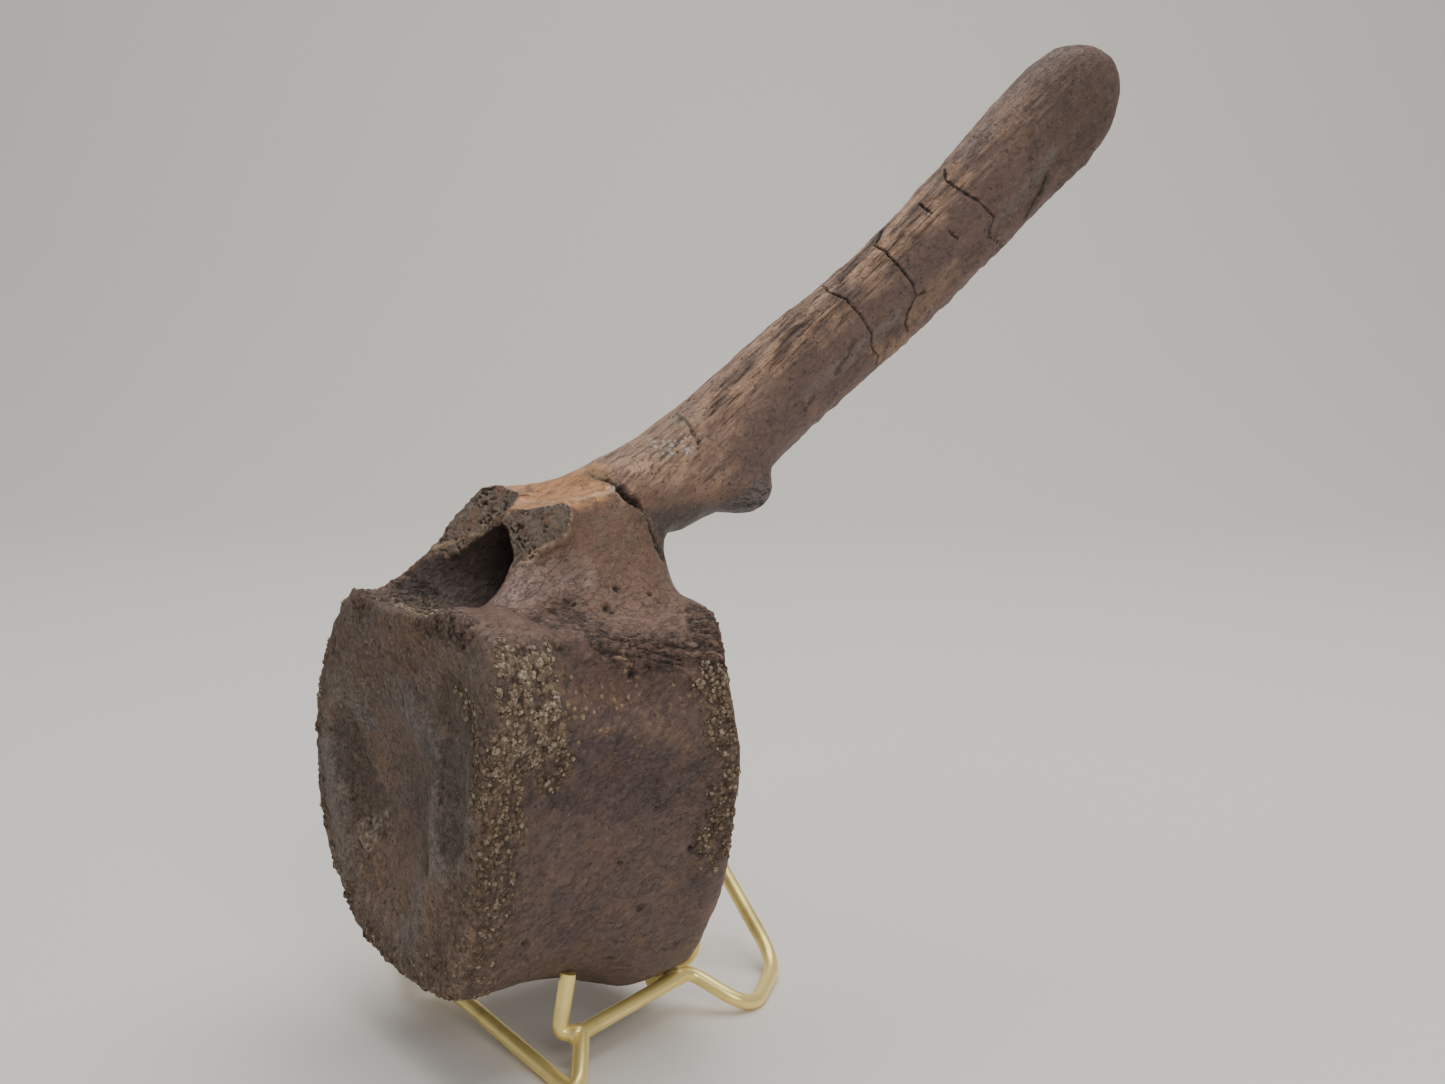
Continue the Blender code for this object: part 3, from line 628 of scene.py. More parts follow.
cloud = lumps(places, 22, 4, shift=51)
mottle = lumps(places, 6, 4, shift=53)
streak = lumps(turned(SPINE_LEAN), 2.4, 3, stretch=(9, 1, 1), shift=57)
WASHES = [
    ("purple", body_side * rise(cloud, -0.1, 0.5) * 0.6),
    ("purple", patch(SHOULDER_HOLLOW, 16, True) * 0.8),
    ("rust", body_side * rise(mottle, 0.05, 0.6) * 0.30),
    ("below seam", body_side * rise(foot_height, -22, -12) * rise(X, 24, 34) * 0.7),
    ("sand", patch(OCHRE_ZONE, 12) * rise(grains + 0.5 * mottle, 0, 0.5) * 0.35),
    ("face", front_face + rear_face),
    ("slate", (front_face + rear_face) * rise(cloud + 0.4 * mottle, 0, 0.5) * 0.20),
    ("rust", front_face * rise(face_grain + mottle, 0.25, 0.9) * 0.4),
    ("arch", arch),
    ("arch red", arch * rise(cloud + mottle, -0.2, 0.6) * 0.6),
    ("olive", arch * rise(mottle - 0.5 * cloud, 0.1, 0.6) * rise(Z, 126, 134) * 0.5),
    ("rugged", arch * rise(foot_height, 9, 0) * 0.55),
    ("arch red", arch * rise(foot_height, 24, 5) * 0.45),
    ("roof shade", patch(ARCH_LEFT_TAN, 8) * 0.5),
    # painted highlight: pale streaks along the crests of the shiny band
    ("spine base and highlight", shine * rise(streak, 0, 0.4) * 0.6),
    ("tan", front_face * rise(Z, 72, 45) * 0.4),
    # painted sheen on the ridges of the face
    ("painted sheen", face_ridge * 0.45),
    # painted shade in the hollows of the face
    ("deep", face_hollow * 0.5),
    # painted sheen on a patch of the face
    ("painted sheen", patch(FACE_SHEEN, 5) * 0.6),
    ("rust", patch(FACE_REDDISH, 10) * front_face * 0.4),
    ("rugged", rugged * 0.6),
    # painted shade in the troughs of the wrinkles, laid with the dust tone
    ("dust", rugged * rise(np.abs(wrinkle_field), 0.16, 0.03) * 0.75),
    # painted highlight on the crests of the wrinkles
    ("spine base and highlight", rugged * rise(np.abs(wrinkle_field), 0.35, 0.65) * 0.4),
    ("rugged", np.clip(canal_sill + top_rim, 0, 1) * 0.75),
    ("roof", roof * rise(mottle, -1.1, -0.3)),
    ("roof shade", roof * rise(mottle + 0.6 * fine_fray, 0.05, 0.6) * 0.55),
    ("canal", canal),
    ("spine", spine),
    ("spine base and highlight", spine_root * 0.85),
    ("spine base and highlight", spine * rise(along, 60, 20) * rise(across, -0.2, 0.4) * 0.9),
    ("spine", (spine + spine_root) * rise(along, 60, 20) * rise(across, 0.3, -0.2) * 0.7),
    ("fibre", fibrous * rise(streak + 0.3 * mottle, -0.4, 0.5) * 0.9),
    ("spine tip", spine * rise(along, 165, 190) * 0.8),
    ("rust", spine * rise(mottle, 0.2, 0.7) * (0.25 + 0.3 * rise(along, 195, 215))),
    ("dust", spine * rise(along, 185, 205) * rise(mottle + grains, 0.1, 0.7) * 0.45),
    ("dust", patch(CRACKS["tip fissure"], 2.4) * 0.7),
    # painted sheen along the ridge lines of the spine
    ("painted sheen", sheen_ridge * 0.30),
    ("tan", tan_patch * 0.7),
    ("facet", lower_facet * 0.7),
    ("crust", crust * 0.8),
    ("sand", crust * rise(grains, 0.05, 0.5) * 0.55),
    ("pale crust", wide_rim * crust * rise(grains + fine_fray, 0, 0.6) * 0.5),
    ("filler", filler * 0.7),
    ("green", green_filler * 0.8),
    ("broken", broken),
    ("rim", 4 * broken * (1 - broken) * rise(X, 60, 50) * 0.8),
    ("roof shade", inner_break * rise(mottle, 0.1, 0.6) * 0.5),
    ("hole", broken * sponge * 0.8),
    ("rim", np.maximum(break_rim, roof_line) * 0.5),
    ("speck", patch(FACE_SPECKS, 5) * rise(grains, 0.15, 0.45) * 0.8),
    # painted shade: the hollows are darkened with the dust tone, more on rough, gritty and broken ground
    ("dust", painted_hollow_shade * np.clip(0.15 + 0.3 * rugged + 0.5 * crust + 0.2 * fibrous + 0.2 * broken, 0, 1)),
    # painted shade along the crease grooves, laid with the dust tone
    ("dust", side_creases * (body_side + 0.4 * arch + front_face) * 0.4),
    # painted highlight: white scribbles on the glue stand for its glints
    ("glue_and_glint", patch(GLUE_SHEEN, 5) * creases(lumps(places, 2.2, 2, shift=71), 0.14) * 0.8),
    # painted highlight: white dots on the glue spots
    ("glue_and_glint", patch(GLUE_SPOTS, 2) * rise(grains, 0, 0.3) * 0.5),
    ("dust", fissure * rise(fray, -0.6, 0) * 0.6),
    ("crack", np.maximum.reduce([crack, gap, rise(pit, 0.25, 0.6), 0.7 * thin_line]) * 0.95),
]
paint = np.tile(linear("body"), (len(places), 1))
for tone, amount in WASHES:
    paint = wash(paint, tone, amount)
# painted light: the crests are lightened, except inside the canal
paint *= (1 + 0.30 * painted_crest_light * (1 - canal))[:, None]

wash_layer = bone.data.attributes.new("washes", "FLOAT_COLOR", "POINT")
wash_layer.data.foreach_set("color", np.hstack([paint, np.ones((len(paint), 1))]).ravel())


def store(name, values):
    layer = bone.data.attributes.new(name, "FLOAT", "POINT")
    layer.data.foreach_set("value", np.clip(values, 0, 1))


store("along the spine", np.maximum(spine, spine_root))
store("front and rear", front_face + rear_face)
store("fibrous", fibrous)
flecked = body_side * rise(Z, 84, 98) * rise(Z, 124, 116) * rise(cloud + fray, -0.5, 0.3)
store("flecked", 0.16 + 0.84 * flecked)
store("gritty", np.maximum(crust, np.maximum(filler, 0.7 * glue_and_glint)))
store("spongy", broken)
store("rugged", np.clip(rugged + canal_sill + top_rim + 0.5 * rim_edge + 0.4 * rear_edge, 0, 1))
smooth_share = (1 - broken) * (1 - crust) * (1 - 0.9 * fibrous) * (1 - 0.6 * rugged)
varnish = (0.34 + 0.6 * shine) * arch * (1 - roof) * (1 - canal)
varnish = varnish + 0.2 * canal + 0.14 * spine + 0.15 * body_side
store("varnish", np.clip(varnish, 0, 1) * smooth_share)
store("glue_and_glint", glue_and_glint)
print("painted", len(paint), "points")

# %% [markdown]
# ## The bone's material
#
# Bone has a grain, so the fine pattern is noise pulled out along the way the fibres run: up the spine,
# slanting over the sides, and upright on the face. It breaks up the painted colour, roughens the gloss and
# raises a small bump. A thin varnish shines where the bone was smooth.

# %% Node helpers


def add(tree, kind, links=None, **settings):
    """A shader node with its settings, and its input sockets linked or set by name."""
    made = tree.nodes.new(kind)
    for key, value in settings.items():
        setattr(made, key, value)
    for key, value in (links or {}).items():
        socket = made.inputs[key]
        if isinstance(value, bpy.types.NodeSocket):
            tree.links.new(value, socket)
        else:
            socket.default_value = value
    return made


def new_material(name):
    material = bpy.data.materials.new(name)
    material.use_nodes = True
    tree = material.node_tree
    return material, tree, tree.nodes["Principled BSDF"]


def attribute(tree, name, output="Fac"):
    return add(tree, "ShaderNodeAttribute", attribute_name=name).outputs[output]


def math(tree, operation, a, b=0.5, c=0.0, clamp=False):
    return add(tree, "ShaderNodeMath", {0: a, 1: b, 2: c}, operation=operation, use_clamp=clamp).outputs[0]


def times(tree, a, b):
    return math(tree, "MULTIPLY", a, b)


def times_plus(tree, a, b, c, clamp=False):
    return math(tree, "MULTIPLY_ADD", a, b, c, clamp)


def object_place(tree):
    return add(tree, "ShaderNodeTexCoord").outputs["Object"]


def noise_pattern(tree, place, scale, detail, roughness=0.5, output=0):
    return add(tree, "ShaderNodeTexNoise", {"Vector": place, "Scale": scale, "Detail": detail,
                                            "Roughness": roughness}).outputs[output]


def cell_pattern(tree, place, size_mm, **settings):
    return add(tree, "ShaderNodeTexVoronoi", {"Vector": place, "Scale": 1000.0 / size_mm}, **settings).outputs


def bump(tree, height, strength, distance, below=None):
    """Raise a pattern on the surface, or on the bumps of the pattern below it."""
    links = {"Height": height, "Strength": strength, "Distance": distance}
    if below:
        links["Normal"] = below
    return add(tree, "ShaderNodeBump", links).outputs[0]


def fibre_noise(tree, lean, size_mm, stretch, detail=4.0):
    """Noise pulled out along the grain, for a grain that leans back from upright or level."""
    turn = add(tree, "ShaderNodeMapping", {"Vector": object_place(tree), "Rotation": (0.0, lean, 0.0)},
               vector_type="POINT")
    pull = add(tree, "ShaderNodeVectorMath", {0: turn.outputs[0], 1: (1.0 / stretch, 1.0, 1.0)},
               operation="MULTIPLY")
    return noise_pattern(tree, pull.outputs[0], 1000.0 / size_mm, detail, 0.6)


def crease_lines(tree, lean, size_mm, stretch):
    """Thin lines along the grain, 1 where the pulled noise crosses its middle value."""
    field = fibre_noise(tree, lean, size_mm, stretch, 5.0)
    from_middle = math(tree, "ABSOLUTE", math(tree, "SUBTRACT", field, 0.5))
    return ramp(tree, from_middle, 0.035, 0.0)


def blend(tree, a, b, share):
    return add(tree, "ShaderNodeMix", {"Factor": share, "A": a, "B": b}).outputs["Result"]


def blend_colour(tree, a, b, share, how="MIX"):
    mix = tree.nodes.new("ShaderNodeMix")
    mix.data_type = "RGBA"
    mix.blend_type = how
    for socket, value in (("Factor_Float", share), ("A_Color", a), ("B_Color", b)):
        target = next(s for s in mix.inputs if s.identifier == socket)
        if isinstance(value, bpy.types.NodeSocket):
            tree.links.new(value, target)
        else:
            target.default_value = value
    return next(s for s in mix.outputs if s.identifier == "Result_Color")


def ramp(tree, value, low, high):
    """A smooth step of a value from 0 at low to 1 at high."""
    return add(tree, "ShaderNodeMapRange", {"Value": value, "From Min": low, "From Max": high},
               interpolation_type="SMOOTHSTEP").outputs[0]


# %% Fossil bone
FIBRE_MM = 0.95
SPECK_MM = 1.5
GRIT_MM = 1.3
PORE_MM = 3.0
VARNISH_ROUGHNESS = 0.19
FLECK_MM = 2.1
FLECK_SWAY = 1.6 * MM
BLOTCH_MM = 6.25
# DIRT_AND_SHADE darkens dirt and specks, and paints shade into the crease lines
DIRT_AND_SHADE, DEEP_PORE = (0.016, 0.011, 0.009, 1.0), (0.010, 0.008, 0.007, 1.0)
OCHRE, FLECK = (0.25, 0.16, 0.085, 1.0), (0.40, 0.27, 0.14, 1.0)
PALE_FIBRE, SAND = (0.36, 0.26, 0.19, 1.0), (0.27, 0.215, 0.15, 1.0)


def fossil_bone():
    material, tree, shader = new_material("fossil bone")
    on_spine = attribute(tree, "along the spine")
    on_face = attribute(tree, "front and rear")
    fibrous_edge = attribute(tree, "fibrous")
    gritty = attribute(tree, "gritty")
    spongy = attribute(tree, "spongy")
    rugged = attribute(tree, "rugged")
    spine_fibre = fibre_noise(tree, SPINE_LEAN, FIBRE_MM, 14.0)
    side_fibre = fibre_noise(tree, BODY_GRAIN_LEAN, FIBRE_MM, 4.0)
    face_fibre = fibre_noise(tree, pi / 2, FIBRE_MM, 5.0)
    fibre = blend(tree, blend(tree, side_fibre, face_fibre, on_face), spine_fibre, on_spine)
    place = object_place(tree)
    speck = noise_pattern(tree, place, 1000.0 / SPECK_MM, 5.0, 0.7)
    blotch = noise_pattern(tree, place, 1000.0 / BLOTCH_MM, 5.0, 0.7)
    grit = cell_pattern(tree, place, GRIT_MM, feature="SMOOTH_F1")["Distance"]
    wrinkle = crease_lines(tree, WRINKLE_LEAN, 2.2, 3.5)
    fine_crease = crease_lines(tree, BODY_GRAIN_LEAN, 2.6, 2.5)
    sway = noise_pattern(tree, place, 900.0, 2.0, output="Color")
    swayed = add(tree, "ShaderNodeVectorMath", {0: sway, 1: (FLECK_SWAY, FLECK_SWAY, FLECK_SWAY), 2: place},
                 operation="MULTIPLY_ADD").outputs[0]
    cells = cell_pattern(tree, swayed, FLECK_MM)
    pick = add(tree, "ShaderNodeSeparateColor", {"Color": cells["Color"]}).outputs[0]
    fleck = times(tree, ramp(tree, cells["Distance"], 0.42, 0.20), ramp(tree, pick, 0.52, 0.60))
    fleck = times(tree, times(tree, fleck, attribute(tree, "flecked")), ramp(tree, blotch, 0.36, 0.50))
    chip = times(tree, ramp(tree, cells["Distance"], 0.32, 0.16), ramp(tree, pick, 0.22, 0.15))
    pores = cell_pattern(tree, place, PORE_MM)["Distance"]
    pore = times(tree, ramp(tree, pores, 0.15, 0.08), ramp(tree, blotch, 0.44, 0.54))

    layers = [
        (OCHRE, times(tree, ramp(tree, speck, 0.56, 0.70), 0.42)),
        (DIRT_AND_SHADE, times(tree, ramp(tree, speck, 0.45, 0.32), 0.44)),
        (DIRT_AND_SHADE, times(tree, ramp(tree, blotch, 0.50, 0.30), 0.25)),
        (DIRT_AND_SHADE, times(tree, ramp(tree, fibre, 0.50, 0.36), times_plus(tree, fibrous_edge, 0.66, 0.07, True))),
        # painted shade along the wrinkle lines and the fine crease lines, which the bumps also cut as grooves
        (DIRT_AND_SHADE, times(tree, wrinkle, times(tree, rugged, 0.75))),
        (DIRT_AND_SHADE, times(tree, fine_crease, times(tree, ramp(tree, blotch, 0.55, 0.45), 0.22))),
        (PALE_FIBRE, times(tree, ramp(tree, fibre, 0.52, 0.66),
                           times_plus(tree, fibrous_edge, 0.55, 0.06, True))),
        (FLECK, times(tree, fleck, 0.8)),
        (DIRT_AND_SHADE, times(tree, chip, 0.45)),
        (SAND, times(tree, times(tree, gritty, ramp(tree, grit, 0.42, 0.18)), 0.6)),
        (DEEP_PORE, times(tree, pore, 0.7)),
    ]
    colour = attribute(tree, "washes", "Color")
    for tone, share in layers:
        colour = blend_colour(tree, colour, tone, share)
    tree.links.new(colour, shader.inputs["Base Color"])

    rough = blend(tree, 0.66, 0.46, fibre)
    rough = math(tree, "ADD", rough, times(tree, math(tree, "MAXIMUM", gritty, spongy), 0.3), clamp=True)
    tree.links.new(rough, shader.inputs["Roughness"])
    coat = math(tree, "MAXIMUM", attribute(tree, "varnish"), attribute(tree, "glue_and_glint"))
    tree.links.new(coat, shader.inputs["Coat Weight"])
    shader.inputs["Coat Roughness"].default_value = VARNISH_ROUGHNESS
    shader.inputs["Specular IOR Level"].default_value = 0.35

    folds = math(tree, "MAXIMUM", times(tree, wrinkle, rugged), times(tree, fine_crease, 0.4))
    fine = bump(tree, fibre, times_plus(tree, fibrous_edge, 0.75, 0.16, True), 1.6 * MM)
    rugose = bump(tree, folds, 0.8, -0.6 * MM, fine)
    coarse = bump(tree, speck, times_plus(tree, spongy, 0.5, 0.4), 1.6 * MM, rugose)
    flecks = bump(tree, math(tree, "SUBTRACT", fleck, chip), 0.6, 0.4 * MM, coarse)
    grains = bump(tree, times(tree, grit, gritty), 0.9, -0.7 * MM, flecks)
    tree.links.new(bump(tree, pore, 0.6, -0.5 * MM, grains), shader.inputs["Normal"])
    tree.links.new(flecks, shader.inputs["Coat Normal"])
    return material


bone.data.materials.clear()
bone.data.materials.append(fossil_bone())
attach(bone, "root")
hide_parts("vertebra")

# %% [markdown]
# ## The crust of grit
#
# Grains of the rock that buried the bone still stick to its rims. They stand proud and cast small shadows,
# so they are real lumps, not a pattern. Each is a rough pebble of twenty faces, scattered only where
# the crust weight is high, turned and squashed at random with a fixed seed.

# %% Scatter grit along the rims
GRAIN_COUNT = 9300
GRAIN_PALE_FROM, GRAIN_PALE_TO = 78.0, 106.0
GRAIN_SIZES = (0.22, 0.90)
rng = random.Random(21)


def pebble(seed):
    bm = bmesh.new()
    bmesh.ops.create_icosphere(bm, subdivisions=1, radius=1.0)
    for v in bm.verts:
        v.co *= 1.0 + 0.35 * noise.noise(v.co * 1.3 + Vector((seed, seed, seed)))
    mesh = bpy.data.meshes.new("pebble")
    bm.to_mesh(mesh)
    bm.free()
    return mesh


pebbles = [pebble(seed * 3.7) for seed in range(6)]
faces = bone.data.polygons
corner = np.empty(len(faces) * 3, dtype=int)
faces.foreach_get("vertices", corner)
face_crust = crust[corner.reshape(-1, 3)].mean(axis=1)
areas = np.empty(len(faces))
faces.foreach_get("area", areas)
clusters = np.array([noise.fractal(Vector(f.center) * 260.0, 1.0, 2.0, 2) for f in faces])
weights = areas * np.clip(face_crust - 0.25, 0, 1) ** 1.5 * rise(clusters, -0.25, 0.35)
chance = np.cumsum(weights) / weights.sum()

grit_bm = bmesh.new()
grain_tones = []
for k in range(GRAIN_COUNT):
    face = faces[int(np.searchsorted(chance, rng.random()))]
    radius = GRAIN_SIZES[0] + (GRAIN_SIZES[1] - GRAIN_SIZES[0]) * rng.random() ** 2.6
    lay = face.normal.to_track_quat("Z", "Y").to_matrix().to_4x4()
    spin = Matrix.Rotation(rng.uniform(0, 2 * pi), 4, "Z")
    squash = Matrix.Diagonal((radius * rng.uniform(0.8, 1.3), radius, radius * rng.uniform(0.45, 0.8), 1.0))
    at = Matrix.Translation(face.center + face.normal * radius * 0.15 * MM)
    grain = pebbles[k % len(pebbles)].copy()
    grain.transform(at @ lay @ spin @ Matrix.Scale(MM, 4) @ squash)
    grit_bm.from_mesh(grain)
    bpy.data.meshes.remove(grain)
    height = (face.center.z - BONE_ORIGIN.z) / MM
    pale = 0.22 * min(max((height - GRAIN_PALE_FROM) / (GRAIN_PALE_TO - GRAIN_PALE_FROM), 0.0), 1.0)
    grain_tones += [min(1.0, pale + 0.05 + 0.80 * rng.random() ** 1.4)] * len(pebbles[0].vertices)
for v in grit_bm.verts:
    v.co = Vector([min(max(c, a), b) for c, a, b in zip(v.co, low, high)])
grit_piece = object_from("grit_crust", grit_bm)
grit_piece.data.shade_smooth()
tone_layer = grit_piece.data.attributes.new("grain tone", "FLOAT", "POINT")
tone_layer.data.foreach_set("value", grain_tones)
print("grit:", GRAIN_COUNT, "grains,", len(grit_piece.data.polygons), "faces")

# %% Grit material


def grit_stone():
    material, tree, shader = new_material("grit stone")
    tone = attribute(tree, "grain tone")
    colours = tree.nodes.new("ShaderNodeValToRGB")
    stops = [(0.0, (0.055, 0.038, 0.026, 1)), (0.3, (0.14, 0.096, 0.055, 1)), (0.6, (0.25, 0.185, 0.120, 1)),
             (1.0, (0.40, 0.325, 0.240, 1))]
    while len(colours.color_ramp.elements) < len(stops):
        colours.color_ramp.elements.new(0.5)
    for element, (position, colour) in zip(colours.color_ramp.elements, stops):
        element.position = position
        element.color = colour
    tree.links.new(tone, colours.inputs[0])
    dust = noise_pattern(tree, object_place(tree), 2200.0, 3.0)
    dirty = blend_colour(tree, colours.outputs[0], (0.05, 0.035, 0.025, 1.0),
                         times(tree, ramp(tree, dust, 0.52, 0.40), 0.6))
    tree.links.new(dirty, shader.inputs["Base Color"])
    tree.links.new(blend(tree, 0.7, 0.95, dust), shader.inputs["Roughness"])
    tree.links.new(bump(tree, dust, 0.5, 0.3 * MM), shader.inputs["Normal"])
    return material


grit_piece.data.materials.append(grit_stone())
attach(grit_piece, "root")

# %% [markdown]
# ## The brass stand
#
# A wire stand is one rod bent over a jig, with shorter rods soldered on. A curve with a round bevel gives
# the same: straight runs, and bends with the radius of the jig's pin. The corners are those of the packed
# wires. The feet are worn flat where they stand, so each wire is trimmed at floor height.

# %% Corners of the wires, in the bone's millimetres
WIRE_RADIUS = 2.25
WIRE_ROUNDNESS = 6
BASE_CORNERS = [(38.5, -35.5, 10.0), (84.5, -19.0, 11.0), (96.5, -34.5, 1.6), (121.5, -12.2, 2.6),
                (119.5, 20.0, 31.0), (62.0, 86.0, 1.4), (40.0, 84.0, 1.4), (23.5, 38.0, 11.0),
                (27.8, -51.5, 0.5)]
BASE_BENDS = [3.0, 5.0, 12.0, 18.0, 9.0, 8.0, 8.0, 20.0, 3.0]
ARMS = {
    "front_arm": ([(36.8, -31.6, 26.0), (33.4, -31.8, 9.4), (36.45, -33.95, 9.8)], 3.0),
    "rear_arm": ([(84.8, -25.0, 35.0), (85.7, -18.8, 17.0), (86.0, -13.3, 11.2), (72.0, -18.3, 10.7)], 5.0),
    "right_arm": ([(31.0, 30.0, 26.0), (28.8, 35.0, 10.6), (29.5, 18.0, 8.9)], 5.0),
}
BEND_STEP = radians(9)
END_LEG_SHARE = 0.95
INNER_LEG_SHARE = 0.46


def bent_line(corners, bends, closed):
    """Centre line of a rod: straight runs joined by arcs round the jig's pins."""
    points = [Vector(c) for c in corners]
    line = []
    for i, corner in enumerate(points):
        if not closed and i in (0, len(points) - 1):
            line.append(corner)
            continue
        back = points[i - 1] - corner
        ahead = points[(i + 1) % len(points)] - corner
        angle = back.angle(ahead)
        back_share = END_LEG_SHARE if not closed and i == 1 else INNER_LEG_SHARE
        ahead_share = END_LEG_SHARE if not closed and i == len(points) - 2 else INNER_LEG_SHARE
        free = min(back_share * back.length, ahead_share * ahead.length)
        reach = min(bends[i] * cos(angle / 2) / max(sin(angle / 2), 0.02), free)
        start, end = corner + back.normalized() * reach, corner + ahead.normalized() * reach
        count = max(3, round((pi - angle) / BEND_STEP))
        for k in range(count + 1):
            t = k / count
            line.append(start.lerp(corner, t).lerp(corner.lerp(end, t), t))
    return line


def brass_rod(name, corners, bends, closed):
    """A bent rod as a curve with a round bevel, made a mesh and trimmed at the floor."""
    line = bent_line(corners, bends, closed)
    curve = bpy.data.curves.new(name, "CURVE")
    curve.dimensions = "3D"
    curve.bevel_depth = WIRE_RADIUS * MM
    curve.bevel_resolution = WIRE_ROUNDNESS
    curve.use_fill_caps = True
    spline = curve.splines.new("POLY")
    spline.points.add(len(line) - 1)
    spline.use_cyclic_u = closed
    for target, point in zip(spline.points, line):
        target.co = (*(point * MM + BONE_ORIGIN), 1.0)
    rod = bpy.data.objects.new(name, curve)
    bpy.context.collection.objects.link(rod)
    graph = bpy.context.evaluated_depsgraph_get()
    bm = bmesh.new()
    bm.from_mesh(bpy.data.meshes.new_from_object(rod.evaluated_get(graph)))
    bpy.data.objects.remove(rod)
    bmesh.ops.remove_doubles(bm, verts=bm.verts, dist=WELD)
    whole = bm.verts[:] + bm.edges[:] + bm.faces[:]
    cut = bmesh.ops.bisect_plane(bm, geom=whole, plane_co=(0, 0, 0), plane_no=(0, 0, 1), clear_inner=True)
    rim = [e for e in cut["geom_cut"] if isinstance(e, bmesh.types.BMEdge)]
    if rim:
        bmesh.ops.holes_fill(bm, edges=rim)
    for v in bm.verts:
        v.co.y = min(v.co.y, high.y)
    bmesh.ops.recalc_face_normals(bm, faces=bm.faces)
    made = object_from(name, bm)
    made.data.shade_smooth()
    made.data.set_sharp_from_angle(angle=radians(50))
    return made


stand = {"base_wire": brass_rod("base_ring", BASE_CORNERS, BASE_BENDS, True)}
for name, (corners, bend) in ARMS.items():
    stand[name] = brass_rod(name + "_rod", corners, [bend] * len(corners), False)
print({name: len(rod.data.polygons) for name, rod in stand.items()})

# %% [markdown]
# Solder runs into the corner between two rods and sets as a small smooth fillet. A ball squashed along the
# joint, half sunk in both rods, reads the same and is far simpler than a true fillet.

# %% Solder at the joints
SOLDER = {
    "front joint": ((37.6, -34.9, 9.4), (3.1, 2.7, 3.3)),
    "rear joint": ((79.5, -20.0, 10.9), (4.6, 2.7, 2.9)),
    "right joint": ((28.3, 29.0, 9.6), (2.8, 4.2, 2.9)),
}
RIPPLES_PER_M = 420
RIPPLE_HEIGHT = 0.25 * MM
solder_bm = bmesh.new()
for centre, size in SOLDER.values():
    place = Matrix.Translation(Vector(centre) * MM + BONE_ORIGIN) @ Matrix.Diagonal((*size, 1.0))
    place = place @ Matrix.Scale(MM, 4)
    bmesh.ops.create_icosphere(solder_bm, subdivisions=3, radius=1.0, matrix=place)
for v in solder_bm.verts:
    ripple = [noise.noise(v.co * RIPPLES_PER_M + Vector((shift, 0, 0))) for shift in (0, 9, 18)]
    v.co += Vector(ripple) * RIPPLE_HEIGHT
    v.co.z = max(v.co.z, low.z)
solder = object_from("solder_beads", solder_bm)
solder.data.shade_smooth()

# %% Polished brass


def polished_brass(name, colour, roughness):
    material, tree, shader = new_material(name)
    film = noise_pattern(tree, object_place(tree), 90.0, 4.0)
    draw = noise_pattern(tree, object_place(tree), 1600.0, 2.0)
    dull = tuple(c * 0.72 for c in colour)
    tree.links.new(blend_colour(tree, (*colour, 1.0), (*dull, 1.0), ramp(tree, film, 0.45, 0.75)),
                   shader.inputs["Base Color"])
    tree.links.new(blend(tree, roughness, roughness + 0.16, film), shader.inputs["Roughness"])
    shader.inputs["Metallic"].default_value = 0.62
    tree.links.new(bump(tree, draw, 0.06, 0.2 * MM), shader.inputs["Normal"])
    return material


brass = polished_brass("polished brass", (1.0, 0.81, 0.30), 0.24)
for node, rod in stand.items():
    rod.data.materials.append(brass)
    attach(rod, "root")
    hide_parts(node)
solder.data.materials.append(polished_brass("solder", (0.97, 0.79, 0.33), 0.25))
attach(solder, "root")

# %% [markdown]
# ## Table, backdrop and light
#
# The specimen stands in a light tent: a pale sheet curves up behind it and soft light comes from above.
# One sheet of a few quads with a rounded bend shows no horizon line.

# %% Seamless sheet
SHEET_NEAR, SHEET_BEND, SHEET_FAR, SHEET_WIDTH, SHEET_HEIGHT = -1.6, 0.9, 1.5, 2.6, 2.2
SHEET_COLOUR, TENT_COLOUR, TENT_GLOW = (0.815, 0.785, 0.748, 1.0), (0.80, 0.80, 0.80, 1.0), 0.42


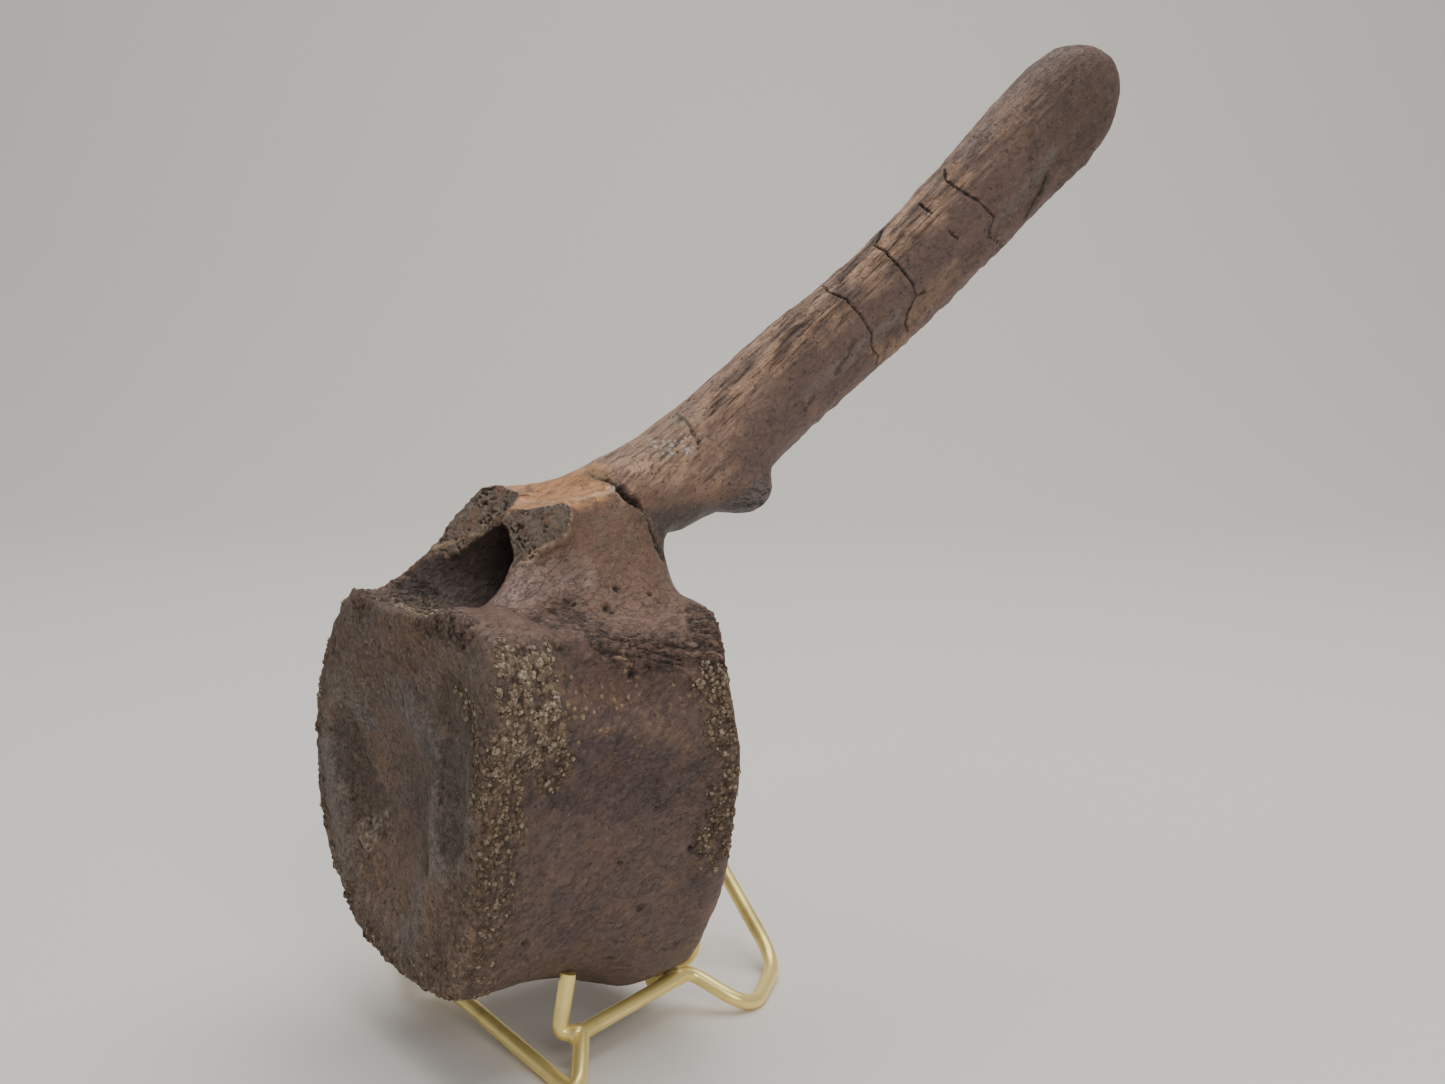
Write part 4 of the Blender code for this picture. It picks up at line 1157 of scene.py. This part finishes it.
def seamless_sheet():
    bm = bmesh.new()
    profile = [(SHEET_NEAR, 0.0), (SHEET_BEND, 0.0)]
    radius = SHEET_FAR - SHEET_BEND
    profile += [(SHEET_BEND + radius * sin(a), radius * (1 - cos(a))) for a in np.linspace(0.1, pi / 2, 14)]
    profile.append((SHEET_FAR, SHEET_HEIGHT))
    turn = Matrix.Rotation(LOOK_TURN, 4, "Z")
    row = [bm.verts.new(turn @ Vector((-SHEET_WIDTH, y, z))) for y, z in profile]
    edges = [bm.edges.new(pair) for pair in zip(row, row[1:])]
    swept = bmesh.ops.extrude_edge_only(bm, edges=edges)["geom"]
    moved = [v for v in swept if isinstance(v, bmesh.types.BMVert)]
    bmesh.ops.translate(bm, verts=moved, vec=turn @ Vector((2 * SHEET_WIDTH, 0, 0)))
    bmesh.ops.recalc_face_normals(bm, faces=bm.faces)
    sheet = object_from("seamless_sheet", bm)
    sheet.data.shade_smooth()
    material, tree, shader = new_material("pale sheet")
    shader.inputs["Base Color"].default_value = SHEET_COLOUR
    shader.inputs["Roughness"].default_value = 0.6
    sheet.data.materials.append(material)
    return sheet


floor = seamless_sheet()


def soft_light(name, place, aim, size, watts, colour):
    lamp = bpy.data.objects.new(name, bpy.data.lights.new(name, "AREA"))
    lamp.data.shape = "RECTANGLE"
    lamp.data.size, lamp.data.size_y = size
    lamp.data.energy = watts
    lamp.data.color = colour
    lamp.location = place
    lamp.rotation_euler = (Vector(aim) - Vector(place)).to_track_quat("-Z", "Y").to_euler()
    bpy.context.collection.objects.link(lamp)
    return lamp


soft_light("tent top", (0.15, 0.1, 1.3), (0.0, 0.05, 0.1), (1.3, 1.3), 16.0, (1.0, 0.985, 0.96))
soft_light("tent side", (-0.42, -1.4, 0.85), (-0.05, 0.0, 0.12), (0.7, 0.7), 7.0, (1.0, 0.98, 0.95))
world = bpy.context.scene.world or bpy.data.worlds.new("tent")
bpy.context.scene.world = world
world.use_nodes = True
world.node_tree.nodes["Background"].inputs[0].default_value = TENT_COLOUR
world.node_tree.nodes["Background"].inputs[1].default_value = TENT_GLOW
